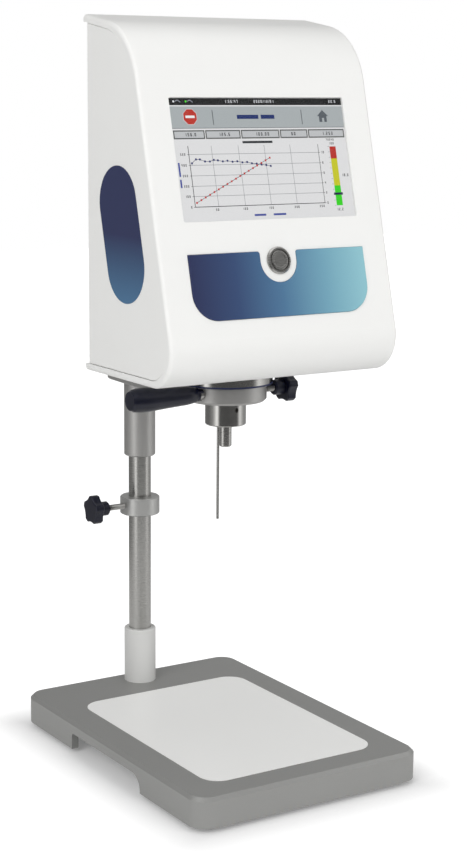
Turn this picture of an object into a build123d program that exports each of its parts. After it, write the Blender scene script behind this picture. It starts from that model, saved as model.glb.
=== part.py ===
from build123d import *
from math import atan, cos, degrees, sin
import os

# Benchtop rotational viscometer on a column stand, in millimetres.
# X runs across the width, the front looks towards -Y and Z points up.
# Heights and depths below are measured from the middle of the base's top; the
# export moves every piece so that the feet stand on z = 0 and the origin lies
# under the middle of the whole object, which the arm makes deeper than the base.

# Clearances
RUNNING_FIT = 0.05
THREAD_GAP = 0.05
LOOSE_FIT = 0.2
SEAM = 0.3

# Base
BASE_WIDTH = 200.0
BASE_DEPTH = 280.0
BASE_HEIGHT = 23.0
BASE_CORNER = 15.0
BASE_CHAMFER = 2.8
BASE_WALL = 6.0
BASE_PLATE = 7.0
FOOT_GAP = 4.0
RIB_THICKNESS = 4.0
RIB_DEPTH = 7.0
GRIP_LENGTH = 110.0
GRIP_HEIGHT = 13.3
GRIP_FRONT_RADIUS = 12.0
GRIP_BACK_RADIUS = 3.0
RIB_OFF_GRIP = 20.0
RIB_X = BASE_WIDTH / 4
RIB_Y = GRIP_LENGTH / 2 + RIB_OFF_GRIP

# Inlay in the base
INLAY_SIDE_BORDER = 25.0
INLAY_FRONT_BORDER = 24.6
INLAY_BACK_BORDER = 52.8
INLAY_WIDTH = BASE_WIDTH - 2 * INLAY_SIDE_BORDER
INLAY_DEPTH = BASE_DEPTH - INLAY_FRONT_BORDER - INLAY_BACK_BORDER
INLAY_Y = (INLAY_FRONT_BORDER - INLAY_BACK_BORDER) / 2
INLAY_CORNER = 16.0
INLAY_SINK = 1.0
INLAY_THICKNESS = 1.2

# Feet
FOOT_INSET = 18.0
FOOT_X = BASE_WIDTH / 2 - FOOT_INSET
FOOT_Y = BASE_DEPTH / 2 - FOOT_INSET
FOOT_RADIUS = 11.0
FOOT_HEIGHT = 8.0
FOOT_BOSS_RADIUS = 13.0
FOOT_SCREW_RADIUS = 2.5
FOOT_SCREW_HEAD = 4.4
FOOT_SCREW_HEAD_HEIGHT = 2.4
FOOT_SCREW_RECESS = 3.2
FOOT_SCREW_REACH = 14.5

# Column and its fixing
COLUMN_INSET = 19.1
COLUMN_Y = BASE_DEPTH / 2 - COLUMN_INSET
COLUMN_RADIUS = 9.3
COLUMN_TOP = 498.0
COLUMN_SEAT = 3.0
COLUMN_BOSS_RADIUS = 17.0
SOCKET_RADIUS = 13.25
SOCKET_TOP = 46.3
BOLT_RADIUS = 4.0
BOLT_HEAD_RADIUS = 6.5
BOLT_HEAD_HEIGHT = 8.0
BOLT_REACH = 14.0
BOLT_RECESS = 8.0

# Stop collar
COLLAR_RADIUS = 16.5
COLLAR_LOW = 145.6
COLLAR_HIGH = 160.3
COLLAR_FLAT = 15.3
COLLAR_KNOB_FACE = 30.8

# Star knobs with their studs and pads
STUD_RADIUS = 2.5
STUD_IN_KNOB = 12.0
PAD_LENGTH = 3.0
PAD_GAP = 0.1
KNOB_RADIUS = 12.0
KNOB_LENGTH = 16.5
KNOB_HUB_LENGTH = 8.5
KNOB_HUB_RADIUS = 5.9
KNOB_LOBES = 5
SCALLOP_RADIUS = 14.0
SCALLOP_DEPTH = 2.1

# Carrier: sleeve, bushes and arm
SLEEVE_RADIUS = 13.0
SLEEVE_LOW = 195.4
SLEEVE_LIP = 1.0
BUSH_OUTER = 11.0
BUSH_LENGTH = 20.0
ARM_LOW = 260.5
ARM_HIGH = 275.7
ARM_BOSS_RADIUS = 26.5
NECK_RADIUS = 12.5
NECK_DEPTH = 6.0
SPINDLE_Y = -13.0
RING_RADIUS = 31.5
RING_LOW = 262.2
RING_CHAMFER = 1.8
RING_STEP_RADIUS = 33.5
HEIGHT_LOCK_Z = 270.2
HEIGHT_KNOB_FACE = 32.0

# Clamping of the head in the ring, and the handle on the same line
CLAMP_Y = -25.0
CLAMP_Z = 270.3
CLAMP_STUD_RADIUS = 3.0
CLAMP_KNOB_FACE = 35.2
CLAMP_SPOT_FACE = 29.0
CLAMP_SPOT_RADIUS = 5.0
PLUG_RADIUS = 4.2
PLUG_START = 7.0
PLUG_END = 19.0
PLUG_TRAVEL = 1.6
HANDLE_FACE = 31.6
HANDLE_LENGTH = 59.5
HANDLE_NECK_RADIUS = 5.2
HANDLE_NECK_LENGTH = 2.8
HANDLE_GRIP_RADIUS = 9.25
HANDLE_END_RADIUS = 7.0
HANDLE_SHOULDER = 4.0
HANDLE_THREAD = 9.0
HANDLE_STUD_REACH = 22.0

# Head flange, spigot and gasket
FLANGE_RADIUS = 36.0
GASKET_GAP = 0.1
GASKET_LOW = ARM_HIGH + GASKET_GAP
FLANGE_LOW = 277.1
HEAD_LOW = 287.0
SPIGOT_RADIUS = 15.8
SPIGOT_LOW = 243.1
SPIGOT_CHAMFER = 0.8
SPIGOT_GROOVE_Z = 261.6
SPIGOT_GROOVE = 0.5
LOCK_HOLE_RADIUS = 1.75
LOCK_HOLE_Z = 256.0
LOCK_HOLE_DEPTH = 6.0
TUBE_RADIUS = 15.0
TUBE_TOP = 312.0
FLANGE_SCREW_CIRCLE = 26.0
FLANGE_SCREW_RADIUS = 2.0
FLANGE_SCREW_HEAD = 3.5
FLANGE_SCREW_HEAD_HEIGHT = 4.0
FLANGE_SCREW_TOP = 298.0

# Spindle, bearings, coupling and probe
SHAFT_RADIUS = 3.0
BEARING_RADIUS = 6.5
BEARING_WIDTH = 5.0
LOWER_BEARING_Z = 250.0
UPPER_BEARING_Z = 307.0
COUPLING_RADIUS = 4.8
COUPLING_GROOVE_Z = 236.8
COUPLING_LOW = 225.6
COUPLING_TOP = 247.0
COUPLING_BORE = 2.0
COUPLING_BORE_DEPTH = 12.0
GRUB_RADIUS = 1.3
GRUB_Z = 231.0
SHAFT_LOW = 239.5
SHAFT_TOP = 330.0
PROBE_Y = -2.4
PROBE_RADIUS = 1.1
PROBE_LOW = 165.5
PROBE_TOP = 300.0
GLAND_RADIUS = 2.4
GLAND_HEIGHT = 2.2

# Drive above the spindle: torsion wire, encoder, hub, motor
WIRE_RADIUS = 0.4
WIRE_LOW = 321.0
HUB_LOW = 367.0
HUB_HIGH = 381.0
HUB_RADIUS = 7.0
WIRE_GRIP = 6.0
MOTOR_SHAFT_RADIUS = 2.5
MOTOR_SHAFT_LOW = 374.0
ENCODER_RADIUS = 14.0
ENCODER_Z = 324.0
ENCODER_THICKNESS = 1.0
ENCODER_HUB_RADIUS = 5.0
MOTOR_PLATE_LOW = 384.0
MOTOR_PLATE_THICKNESS = 4.0
MOTOR_RADIUS = 18.0
MOTOR_LENGTH = 57.0
PILLAR_RADIUS = 4.0
PILLAR_X = 30.0
PILLAR_Y = 14.0

# Head shell: a wrap of constant wall, open at the back, with inset cheeks
HEAD_HALF_WIDTH = 99.0
HEAD_WALL = 5.5
HEAD_BACK = 30.0
HEAD_FRONT = -106.1
HEAD_TOP_FRONT_Y = -41.0
HEAD_TOP_FRONT_Z = 538.9
HEAD_TOP_SLOPE = 0.155
HEAD_BOTTOM_RADIUS = 28.0
HEAD_TOP_RADIUS = 55.0
HEAD_EDGE_RADIUS = 3.0
LIP_RADIUS = 2.5
CHEEK_FACE = 98.5
CHEEK_THICKNESS = 3.0
CHEEK_SKIRT = 10.0
CHEEK_SKIRT_THICKNESS = 2.0
CHEEK_BACK = 24.0
LEDGE_WIDTH = 2.0
LEDGE_HEIGHT = 4.0
CHEEK_INLAY_LENGTH = 100.0
CHEEK_INLAY_WIDTH = 54.0
CHEEK_INLAY_Y = -27.5
CHEEK_INLAY_Z = 393.0
CHEEK_INLAY_SINK = 0.4
CHEEK_INLAY_THICKNESS = 0.9

# Front face: distances up the face are measured from the head's lower edge
GLASS_WIDTH = 150.0
GLASS_LOW = 121.4
GLASS_HIGH = 210.5
GLASS_THICKNESS = 1.8
WINDOW_BORDER = 4.0
SCREEN_FRAME_WIDTH = 162.0
SCREEN_FRAME_HEIGHT = 102.0
SCREEN_FRAME_DEPTH = 7.0
PLATE_HALF_WIDTH = 76.0
PLATE_LOW = 50.0
PLATE_HIGH = 98.0
PLATE_CORNER = 20.0
PLATE_SINK = 0.5
PLATE_THICKNESS = 1.6
PLATE_EDGE = 0.7
NOTCH_RADIUS = 15.8
NOTCH_FILLET = 2.0
BUTTON_UP = 90.8
BEZEL_RADIUS = 10.0
BEZEL_HEIGHT = 2.2
BEZEL_GROOVE = 0.8
BEZEL_GROOVE_DEPTH = 1.8
BARREL_RADIUS = 9.2
BARREL_LENGTH = 22.0
CAP_RADIUS = 7.1
CAP_HEIGHT = 2.3
CAP_DISH_RADIUS = 5.1
CAP_DISH = 0.4
CAP_DEPTH = 6.0
BUTTON_TRAVEL = 1.2
STEM_RADIUS = 2.5
STEM_LENGTH = 17.5
NUT_RADIUS = 12.5
NUT_THICKNESS = 3.0
SWITCH_RADIUS = 8.5
SWITCH_LENGTH = 10.0

# Chassis, electronics and rear panel
CHASSIS_HALF_WIDTH = 80.0
CHASSIS_FRONT = -66.0
CHASSIS_BACK = 18.0
CHASSIS_THICKNESS = 3.0
PANEL_FRONT = 21.5
PANEL_THICKNESS = 2.0
PANEL_HALF_WIDTH = 95.2
PANEL_GAP = 0.4
PANEL_BOSS_X = 78.0
PANEL_BOSS_RADIUS = 5.0
PANEL_BOSS_FRONT = 4.0
PANEL_SCREW_RADIUS = 1.5
PANEL_SCREW_HEAD = 2.8
PANEL_SCREW_HEAD_HEIGHT = 2.0
PANEL_SCREW_REACH = 9.0
SLOT_LENGTH = 34.0
SLOT_WIDTH = 3.0
SLOT_PITCH = 8.0
SLOT_COUNT = 13
SLOT_Z = 488.0
BOARD_HALF_WIDTH = 60.0
BOARD_LOW = 334.0
BOARD_HIGH = 444.0
BOARD_Y = 10.0
BOARD_THICKNESS = 1.6
PORT_Z = 313.0
INLET_X = 58.0
SWITCH_X = 22.0
USB_X = -20.0
SERIAL_X = -52.0
USB_SIZE = (14.0, 7.0)
USB_TONGUE = 1.2
SERIAL_SIZE = (12.0, 11.0)
PORT_GAP = 0.3

BASE_FLOOR = -BASE_HEIGHT - FOOT_GAP
MIDDLE_Y = (COLUMN_Y + ARM_BOSS_RADIUS - BASE_DEPTH / 2) / 2
FACE_ANGLE = atan((HEAD_TOP_FRONT_Y - HEAD_FRONT) / (HEAD_TOP_FRONT_Z - HEAD_LOW))
FACE = Plane(
    origin=(0, HEAD_FRONT, HEAD_LOW),
    x_dir=(1, 0, 0),
    z_dir=(0, -cos(FACE_ANGLE), sin(FACE_ANGLE)),
).location
INSIDE_LOW = HEAD_LOW + HEAD_WALL
PANEL_BACK = PANEL_FRONT + PANEL_THICKNESS
SWITCH_PIVOT_Y = 19.0


# Shared shapes

def rod(radius, low, high, x=0.0, y=0.0):
    """Upright cylinder between two heights."""
    return Pos(x, y, low) * extrude(Circle(radius), high - low)


def tube(outer, inner, low, high, x=0.0, y=0.0):
    """Upright cylinder with a through bore."""
    return rod(outer, low, high, x, y) - rod(inner, low - 1, high + 1, x, y)


def slab(x_low, x_high, y_low, y_high, z_low, z_high):
    """Box between two corners."""
    size = Box(x_high - x_low, y_high - y_low, z_high - z_low)
    return Pos((x_low + x_high) / 2, (y_low + y_high) / 2, (z_low + z_high) / 2) * size


def sideways(side, y, z, x=0.0):
    """Frame whose z axis points out to the right (side 1) or left (side -1), with x up."""
    return Plane(origin=(side * x, y, z), x_dir=(0, 0, 1), z_dir=(side, 0, 0)).location


def rearward(x, z, y=0.0):
    """Frame whose z axis points to the back, with y up."""
    return Plane(origin=(x, y, z), x_dir=(-1, 0, 0), z_dir=(0, 1, 0)).location


def circle_edges(shape, radius):
    """Circular edges of one radius."""
    return shape.edges().filter_by(lambda e: e.geom_type == GeomType.CIRCLE and abs(e.radius - radius) < 0.01)


def four_corners(x, y):
    """The four spots at plus and minus x and y."""
    return [(sx * x, sy * y) for sx in (-1, 1) for sy in (-1, 1)]


def group(pieces):
    """Several separate solids kept as one node."""
    return Part() + list(pieces)


# Base

def hand_grip():
    """Arched opening in a side wall, larger radius to the front."""
    outline = Pos(0, -BASE_HEIGHT) * Rectangle(GRIP_LENGTH, 2 * GRIP_HEIGHT)
    outline = fillet(outline.vertices().group_by(Axis.X)[0], GRIP_FRONT_RADIUS)
    outline = fillet(outline.vertices().group_by(Axis.X)[-1], GRIP_BACK_RADIUS)
    return extrude(Plane.YZ * outline, 1.5 * BASE_WALL, both=True)


def base_casting():
    plan = RectangleRounded(BASE_WIDTH, BASE_DEPTH, BASE_CORNER)
    body = Pos(0, 0, -BASE_HEIGHT) * extrude(plan, BASE_HEIGHT)
    body = chamfer(body.faces().sort_by(Axis.Z)[-1].edges(), BASE_CHAMFER)
    room = RectangleRounded(BASE_WIDTH - 2 * BASE_WALL, BASE_DEPTH - 2 * BASE_WALL, BASE_CORNER - BASE_WALL)
    body -= Pos(0, 0, -BASE_HEIGHT) * extrude(room, BASE_HEIGHT - BASE_PLATE)
    rib_low = -BASE_PLATE - RIB_DEPTH
    for side in (-1, 1):
        x = side * RIB_X
        y = side * RIB_Y
        half = RIB_THICKNESS / 2
        reach_x = BASE_WIDTH / 2 - BASE_WALL / 2
        reach_y = BASE_DEPTH / 2 - BASE_WALL / 2
        body += slab(x - half, x + half, -reach_y, reach_y, rib_low, -BASE_PLATE / 2)
        body += slab(-reach_x, reach_x, y - half, y + half, rib_low, -BASE_PLATE / 2)
    boss_low = BASE_FLOOR + FOOT_HEIGHT
    for x, y in four_corners(FOOT_X, FOOT_Y):
        body += rod(FOOT_BOSS_RADIUS, boss_low, -BASE_PLATE / 2, x, y)
        body -= rod(FOOT_SCREW_RADIUS + THREAD_GAP, boss_low - 1, boss_low + FOOT_SCREW_REACH, x, y)
    body += rod(COLUMN_BOSS_RADIUS, boss_low, -BASE_PLATE / 2, 0, COLUMN_Y)
    seat = -COLUMN_SEAT
    body -= rod(COLUMN_RADIUS + RUNNING_FIT, seat, 1, 0, COLUMN_Y)
    body -= rod(BOLT_RADIUS + LOOSE_FIT, boss_low - 1, 0, 0, COLUMN_Y)
    body -= rod(BOLT_HEAD_RADIUS + 1, boss_low - 1, seat - BOLT_RECESS, 0, COLUMN_Y)
    for side in (-1, 1):
        body -= Pos(side * BASE_WIDTH / 2, 0, 0) * hand_grip()
    pocket = RectangleRounded(INLAY_WIDTH + LOOSE_FIT, INLAY_DEPTH + LOOSE_FIT, INLAY_CORNER)
    return body - Pos(0, INLAY_Y, -INLAY_SINK) * extrude(pocket, INLAY_SINK + 1)


def base_inlay():
    sheet = RectangleRounded(INLAY_WIDTH, INLAY_DEPTH, INLAY_CORNER)
    return Pos(0, INLAY_Y, -INLAY_SINK) * extrude(sheet, INLAY_THICKNESS)


def base_foot(x, y):
    """Rubber foot with a recess for its screw head."""
    foot = rod(FOOT_RADIUS, BASE_FLOOR, BASE_FLOOR + FOOT_HEIGHT, x, y)
    foot = fillet(foot.faces().sort_by(Axis.Z)[0].edges(), 1.5)
    foot -= rod(FOOT_SCREW_HEAD + 0.8, BASE_FLOOR - 1, BASE_FLOOR + FOOT_SCREW_RECESS, x, y)
    return foot - rod(FOOT_SCREW_RADIUS + 0.1, BASE_FLOOR, BASE_FLOOR + FOOT_HEIGHT + 1, x, y)


def foot_screw(x, y):
    """Pan head screw holding a foot."""
    under_head = BASE_FLOOR + FOOT_SCREW_RECESS
    low = under_head - FOOT_SCREW_HEAD_HEIGHT
    head = rod(FOOT_SCREW_HEAD, low, under_head, x, y)
    head = fillet(head.faces().sort_by(Axis.Z)[0].edges(), FOOT_SCREW_HEAD_HEIGHT / 2)
    slot = FOOT_SCREW_HEAD - 0.4
    head -= slab(x - slot, x + slot, y - 0.5, y + 0.5, low - 1, low + 1)
    return head + rod(FOOT_SCREW_RADIUS, under_head, BASE_FLOOR + FOOT_HEIGHT + FOOT_SCREW_REACH - 1, x, y)


# Column

def column():
    body = rod(COLUMN_RADIUS, -COLUMN_SEAT, COLUMN_TOP, 0, COLUMN_Y)
    body = chamfer(body.faces().sort_by(Axis.Z)[-1].edges(), 1.0)
    return body - rod(BOLT_RADIUS + THREAD_GAP, -COLUMN_SEAT - 1, BOLT_REACH + 2, 0, COLUMN_Y)


def column_socket():
    body = tube(SOCKET_RADIUS, COLUMN_RADIUS + RUNNING_FIT, 0, SOCKET_TOP, 0, COLUMN_Y)
    top_edges = circle_edges(body, SOCKET_RADIUS).sort_by(Axis.Z)[-1:]
    return fillet(top_edges, 1.2)


def column_bolt():
    """Socket head bolt that draws the column into the base."""
    under_head = -COLUMN_SEAT - BOLT_RECESS
    head = rod(BOLT_HEAD_RADIUS, under_head - BOLT_HEAD_HEIGHT, under_head, 0, COLUMN_Y)
    key = Pos(0, COLUMN_Y, under_head - BOLT_HEAD_HEIGHT) * extrude(RegularPolygon(3.4, 6), 4)
    return head - key + rod(BOLT_RADIUS, under_head, BOLT_REACH, 0, COLUMN_Y)


# Star knobs, studs and pads

def star_knob(stud_radius):
    """Five-lobed knob, hub face on z = 0, one lobe along +x."""
    star = Circle(KNOB_RADIUS)
    reach = KNOB_RADIUS - SCALLOP_DEPTH + SCALLOP_RADIUS
    star -= PolarLocations(reach, KNOB_LOBES, start_angle=180 / KNOB_LOBES) * Circle(SCALLOP_RADIUS)
    star = fillet(star.vertices(), 1.6)
    head = Pos(0, 0, KNOB_HUB_LENGTH) * extrude(star, KNOB_LENGTH - KNOB_HUB_LENGTH)
    rims = head.faces().filter_by(Axis.Z).edges()
    head = fillet(rims, 1.2)
    hub = extrude(Circle(KNOB_HUB_RADIUS), KNOB_HUB_LENGTH + 1)
    hub = chamfer(hub.faces().sort_by(Axis.Z)[0].edges(), 1.0)
    return head + hub - extrude(Circle(stud_radius + THREAD_GAP), STUD_IN_KNOB)


def stud(radius, start, end):
    """Threaded stud with chamfered ends, along +z."""
    body = Pos(0, 0, start) * extrude(Circle(radius), end - start)
    return chamfer(body.faces().filter_by(Axis.Z).edges(), 0.4)


def column_pad(side, z):
    """Brass pad between a stud and the column."""
    pad = sideways(side, COLUMN_Y, z) * rod(STUD_RADIUS - RUNNING_FIT, 0, COLUMN_RADIUS + PAD_GAP + PAD_LENGTH)
    return pad - rod(COLUMN_RADIUS + PAD_GAP, z - 10, z + 10, 0, COLUMN_Y)


def column_clamp(side, z, face):
    """Pad, stud and star knob that press on the column from one side."""
    tip = COLUMN_RADIUS + PAD_GAP + PAD_LENGTH + RUNNING_FIT
    line = sideways(side, COLUMN_Y, z)
    screw = line * stud(STUD_RADIUS, tip, face + STUD_IN_KNOB - 0.5)
    knob = line * Pos(0, 0, face) * star_knob(STUD_RADIUS)
    return column_pad(side, z), screw, knob


def stop_collar():
    body = tube(COLLAR_RADIUS, COLUMN_RADIUS + RUNNING_FIT, COLLAR_LOW, COLLAR_HIGH, 0, COLUMN_Y)
    body = chamfer(circle_edges(body, COLLAR_RADIUS), 0.8)
    middle = (COLLAR_LOW + COLLAR_HIGH) / 2
    line = sideways(-1, COLUMN_Y, middle)
    body -= line * Pos(0, 0, COLLAR_FLAT) * extrude(Rectangle(40, 40), 10)
    return body - line * rod(STUD_RADIUS + THREAD_GAP, 0, COLLAR_RADIUS)


# Carrier on the column

def guide_bush(low):
    """Plain bearing bush with chamfered bore edges."""
    bush = tube(BUSH_OUTER, COLUMN_RADIUS + RUNNING_FIT, low, low + BUSH_LENGTH, 0, COLUMN_Y)
    return chamfer(circle_edges(bush, COLUMN_RADIUS + RUNNING_FIT), 0.5)


def bush_heights():
    """Lower ends of the two bushes: on the sleeve's lip and under the arm's shoulder."""
    low = SLEEVE_LOW + SLEEVE_LIP + 0.1
    high = ARM_LOW + NECK_DEPTH - 0.1 - BUSH_LENGTH
    return low, high


def carrier_sleeve():
    body = rod(SLEEVE_RADIUS, SLEEVE_LOW, ARM_LOW, 0, COLUMN_Y)
    body = chamfer(body.faces().sort_by(Axis.Z)[0].edges(), 1.0)
    body += rod(NECK_RADIUS, ARM_LOW, ARM_LOW + NECK_DEPTH, 0, COLUMN_Y)
    body -= rod(COLUMN_RADIUS + 0.3, SLEEVE_LOW - 1, ARM_LOW, 0, COLUMN_Y)
    return body - rod(BUSH_OUTER + RUNNING_FIT, SLEEVE_LOW + SLEEVE_LIP, ARM_HIGH, 0, COLUMN_Y)


def carrier_arm():
    """Casting that joins the column boss to the clamping ring of the head."""
    boss = Pos(0, COLUMN_Y) * Circle(ARM_BOSS_RADIUS)
    ring = Pos(0, SPINDLE_Y) * Circle(RING_RADIUS)
    outline = make_hull(boss.edges() + ring.edges())
    body = Pos(0, 0, ARM_LOW) * extrude(outline, ARM_HIGH - ARM_LOW)
    body = fillet(body.faces().filter_by(Axis.Z).edges(), 1.2)
    body -= rod(RING_STEP_RADIUS, ARM_LOW - 1, RING_LOW, 0, SPINDLE_Y)
    rim = circle_edges(body, RING_RADIUS).sort_by(Axis.Z)[0]
    body = chamfer(rim, RING_CHAMFER)
    body -= rod(NECK_RADIUS, ARM_LOW - 1, ARM_LOW + NECK_DEPTH, 0, COLUMN_Y)
    body -= rod(COLUMN_RADIUS + 0.3, ARM_LOW, ARM_HIGH + 1, 0, COLUMN_Y)
    body -= rod(SPIGOT_RADIUS + RUNNING_FIT, ARM_LOW - 1, ARM_HIGH + 1, 0, SPINDLE_Y)
    body -= sideways(1, COLUMN_Y, HEIGHT_LOCK_Z) * rod(STUD_RADIUS + THREAD_GAP, 0, 2 * ARM_BOSS_RADIUS)
    clamp = sideways(1, CLAMP_Y, CLAMP_Z)
    body -= clamp * rod(PLUG_RADIUS + RUNNING_FIT, 0, PLUG_END + PLUG_TRAVEL + 0.4)
    for side in (-1, 1):
        line = sideways(side, CLAMP_Y, CLAMP_Z)
        body -= line * rod(CLAMP_STUD_RADIUS + THREAD_GAP, 12, RING_RADIUS + 1)
        body -= line * rod(CLAMP_SPOT_RADIUS, CLAMP_SPOT_FACE, RING_RADIUS + 5)
    return body


def head_lock_plug():
    """Cotter with a hollow side that grips the spigot."""
    plug = sideways(1, CLAMP_Y, CLAMP_Z) * rod(PLUG_RADIUS, PLUG_START, PLUG_END)
    return plug - rod(SPIGOT_RADIUS + PAD_GAP, CLAMP_Z - 10, CLAMP_Z + 10, 0, SPINDLE_Y)


def head_lock_stud():
    screw = stud(CLAMP_STUD_RADIUS, PLUG_END + RUNNING_FIT, CLAMP_KNOB_FACE + STUD_IN_KNOB - 0.5)
    return sideways(1, CLAMP_Y, CLAMP_Z) * screw


def head_lock_knob():
    return sideways(1, CLAMP_Y, CLAMP_Z) * Pos(0, 0, CLAMP_KNOB_FACE) * star_knob(CLAMP_STUD_RADIUS)


def lift_handle():
    """Tapered grip turned about its own axis, with a short neck under the head's flange."""
    neck = HANDLE_NECK_RADIUS
    swell = HANDLE_GRIP_RADIUS - neck
    run = HANDLE_LENGTH - HANDLE_NECK_LENGTH
    stations = [(0, 0), (0.25, 0.06), (0.5, 0.22), (0.84, 0.59), (1.0, 0.78), (0.79, 0.95)]
    outline = [(neck + swell * out, HANDLE_NECK_LENGTH + run * along) for out, along in stations]
    side = Spline(*outline)
    shoulder = outline[-1]
    rest = Polyline(
        shoulder, (HANDLE_END_RADIUS, HANDLE_LENGTH), (0, HANDLE_LENGTH), (0, 0), (neck, 0), outline[0]
    )
    grip = revolve(Plane.XZ * make_face(side.edges() + rest.edges()), Axis.Z)
    grip = fillet(circle_edges(grip, neck).sort_by(Axis.Z)[0], 1.5)
    grip -= extrude(Circle(CLAMP_STUD_RADIUS + THREAD_GAP), HANDLE_STUD_REACH + 1)
    return sideways(-1, CLAMP_Y, CLAMP_Z) * Pos(0, 0, HANDLE_FACE) * grip


def handle_stud():
    """Steel stud with the shoulder that sets the handle off the ring."""
    pin = stud(CLAMP_STUD_RADIUS, RING_RADIUS - HANDLE_THREAD, HANDLE_FACE + HANDLE_STUD_REACH)
    shoulder = rod(HANDLE_SHOULDER, CLAMP_SPOT_FACE, HANDLE_FACE)
    return sideways(-1, CLAMP_Y, CLAMP_Z) * (pin + shoulder)


# Head flange with spigot

def flange_gasket():
    return tube(FLANGE_RADIUS, SPIGOT_RADIUS + LOOSE_FIT, GASKET_LOW, FLANGE_LOW, 0, SPINDLE_Y)


def flange_screw_spots():
    """Screw positions on their circle, on the diagonals."""
    reach = FLANGE_SCREW_CIRCLE * cos(atan(1))
    return [(x, y + SPINDLE_Y) for x, y in four_corners(reach, reach)]


def head_flange():
    disc = rod(FLANGE_RADIUS, FLANGE_LOW, HEAD_LOW, 0, SPINDLE_Y)
    disc = fillet(disc.faces().sort_by(Axis.Z)[-1].edges(), 0.8)
    spigot = rod(SPIGOT_RADIUS, SPIGOT_LOW, FLANGE_LOW, 0, SPINDLE_Y)
    spigot = chamfer(spigot.faces().sort_by(Axis.Z)[0].edges(), SPIGOT_CHAMFER)
    groove_top = SPIGOT_GROOVE_Z + 2 * SPIGOT_GROOVE
    spigot -= tube(SPIGOT_RADIUS + 1, SPIGOT_RADIUS - SPIGOT_GROOVE, SPIGOT_GROOVE_Z, groove_top, 0, SPINDLE_Y)
    body = disc + spigot + rod(TUBE_RADIUS, HEAD_LOW, TUBE_TOP, 0, SPINDLE_Y)
    seat = BEARING_RADIUS + RUNNING_FIT
    body -= rod(seat, SPIGOT_LOW - 1, LOWER_BEARING_Z + BEARING_WIDTH, 0, SPINDLE_Y)
    body -= rod(seat, UPPER_BEARING_Z, TUBE_TOP + 1, 0, SPINDLE_Y)
    body -= rod(SHAFT_RADIUS + 1, SPIGOT_LOW, TUBE_TOP, 0, SPINDLE_Y)
    body -= rod(PROBE_RADIUS + RUNNING_FIT, SPIGOT_LOW - 1, TUBE_TOP + 1, 0, PROBE_Y)
    hole = Plane(origin=(0, SPINDLE_Y - SPIGOT_RADIUS, LOCK_HOLE_Z), z_dir=(0, 1, 0)).location
    body -= hole * rod(LOCK_HOLE_RADIUS, -1, LOCK_HOLE_DEPTH)
    for x, y in flange_screw_spots():
        body -= rod(FLANGE_SCREW_RADIUS + LOOSE_FIT, FLANGE_LOW - 1, HEAD_LOW + 1, x, y)
        head_room = FLANGE_LOW + FLANGE_SCREW_HEAD_HEIGHT + 0.4
        body -= rod(FLANGE_SCREW_HEAD + 0.3, FLANGE_LOW - 1, head_room, x, y)
    return body


def flange_screw(x, y):
    """Socket head screw from the flange into the chassis plate."""
    low = FLANGE_LOW + 0.4
    head = rod(FLANGE_SCREW_HEAD, low, low + FLANGE_SCREW_HEAD_HEIGHT, x, y)
    head -= Pos(x, y, low) * extrude(RegularPolygon(1.7, 6), 2)
    return head + rod(FLANGE_SCREW_RADIUS, low + FLANGE_SCREW_HEAD_HEIGHT, FLANGE_SCREW_TOP, x, y)


def bearing(low):
    """Ball bearing drawn closed, with the shield set back between its rings."""
    body = tube(BEARING_RADIUS, SHAFT_RADIUS + 0.03, low, low + BEARING_WIDTH, 0, SPINDLE_Y)
    shield = tube(BEARING_RADIUS - 1, SHAFT_RADIUS + 1, 0, 0.4, 0, SPINDLE_Y)
    return body - Pos(0, 0, low) * shield - Pos(0, 0, low + BEARING_WIDTH - 0.4) * shield


def spindle_coupling():
    body = rod(COUPLING_RADIUS, COUPLING_LOW, COUPLING_TOP, 0, SPINDLE_Y)
    body = chamfer(body.faces().filter_by(Axis.Z).edges(), 0.8)
    groove_top = COUPLING_GROOVE_Z + 0.6
    body -= tube(COUPLING_RADIUS + 1, COUPLING_RADIUS - 0.4, COUPLING_GROOVE_Z, groove_top, 0, SPINDLE_Y)
    body -= rod(COUPLING_BORE, COUPLING_LOW - 1, COUPLING_LOW + COUPLING_BORE_DEPTH, 0, SPINDLE_Y)
    body -= rod(SHAFT_RADIUS, SHAFT_LOW, COUPLING_TOP + 1, 0, SPINDLE_Y)
    return body - sideways(1, SPINDLE_Y, GRUB_Z) * rod(GRUB_RADIUS + THREAD_GAP, 0, COUPLING_RADIUS + 1)


def coupling_screw():
    """Grub screw with a hexagon socket."""
    screw = rod(GRUB_RADIUS, COUPLING_BORE + 0.1, COUPLING_RADIUS - 0.2)
    screw -= Pos(0, 0, COUPLING_RADIUS - 1.2) * extrude(RegularPolygon(0.7, 6), 2)
    return sideways(1, SPINDLE_Y, GRUB_Z) * screw


def spindle_shaft():
    body = rod(SHAFT_RADIUS, SHAFT_LOW, SHAFT_TOP, 0, SPINDLE_Y)
    body = chamfer(body.faces().filter_by(Axis.Z).edges(), 0.4)
    return body - rod(WIRE_RADIUS, WIRE_LOW, SHAFT_TOP + 1, 0, SPINDLE_Y)


def torsion_wire():
    """Wire whose twist between shaft and drive hub measures the torque."""
    return rod(WIRE_RADIUS, WIRE_LOW, HUB_LOW + WIRE_GRIP, 0, SPINDLE_Y)


def encoder_disc():
    hub = tube(ENCODER_HUB_RADIUS, SHAFT_RADIUS, ENCODER_Z - 5, ENCODER_Z, 0, SPINDLE_Y)
    disc = tube(ENCODER_RADIUS, SHAFT_RADIUS, ENCODER_Z, ENCODER_Z + ENCODER_THICKNESS, 0, SPINDLE_Y)
    slit = Pos(0, SPINDLE_Y, ENCODER_Z - 1) * PolarLocations(ENCODER_RADIUS - 1.6, 24)
    slits = slit * extrude(Rectangle(2.0, 0.8), ENCODER_THICKNESS + 2)
    return hub + disc - slits


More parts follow.
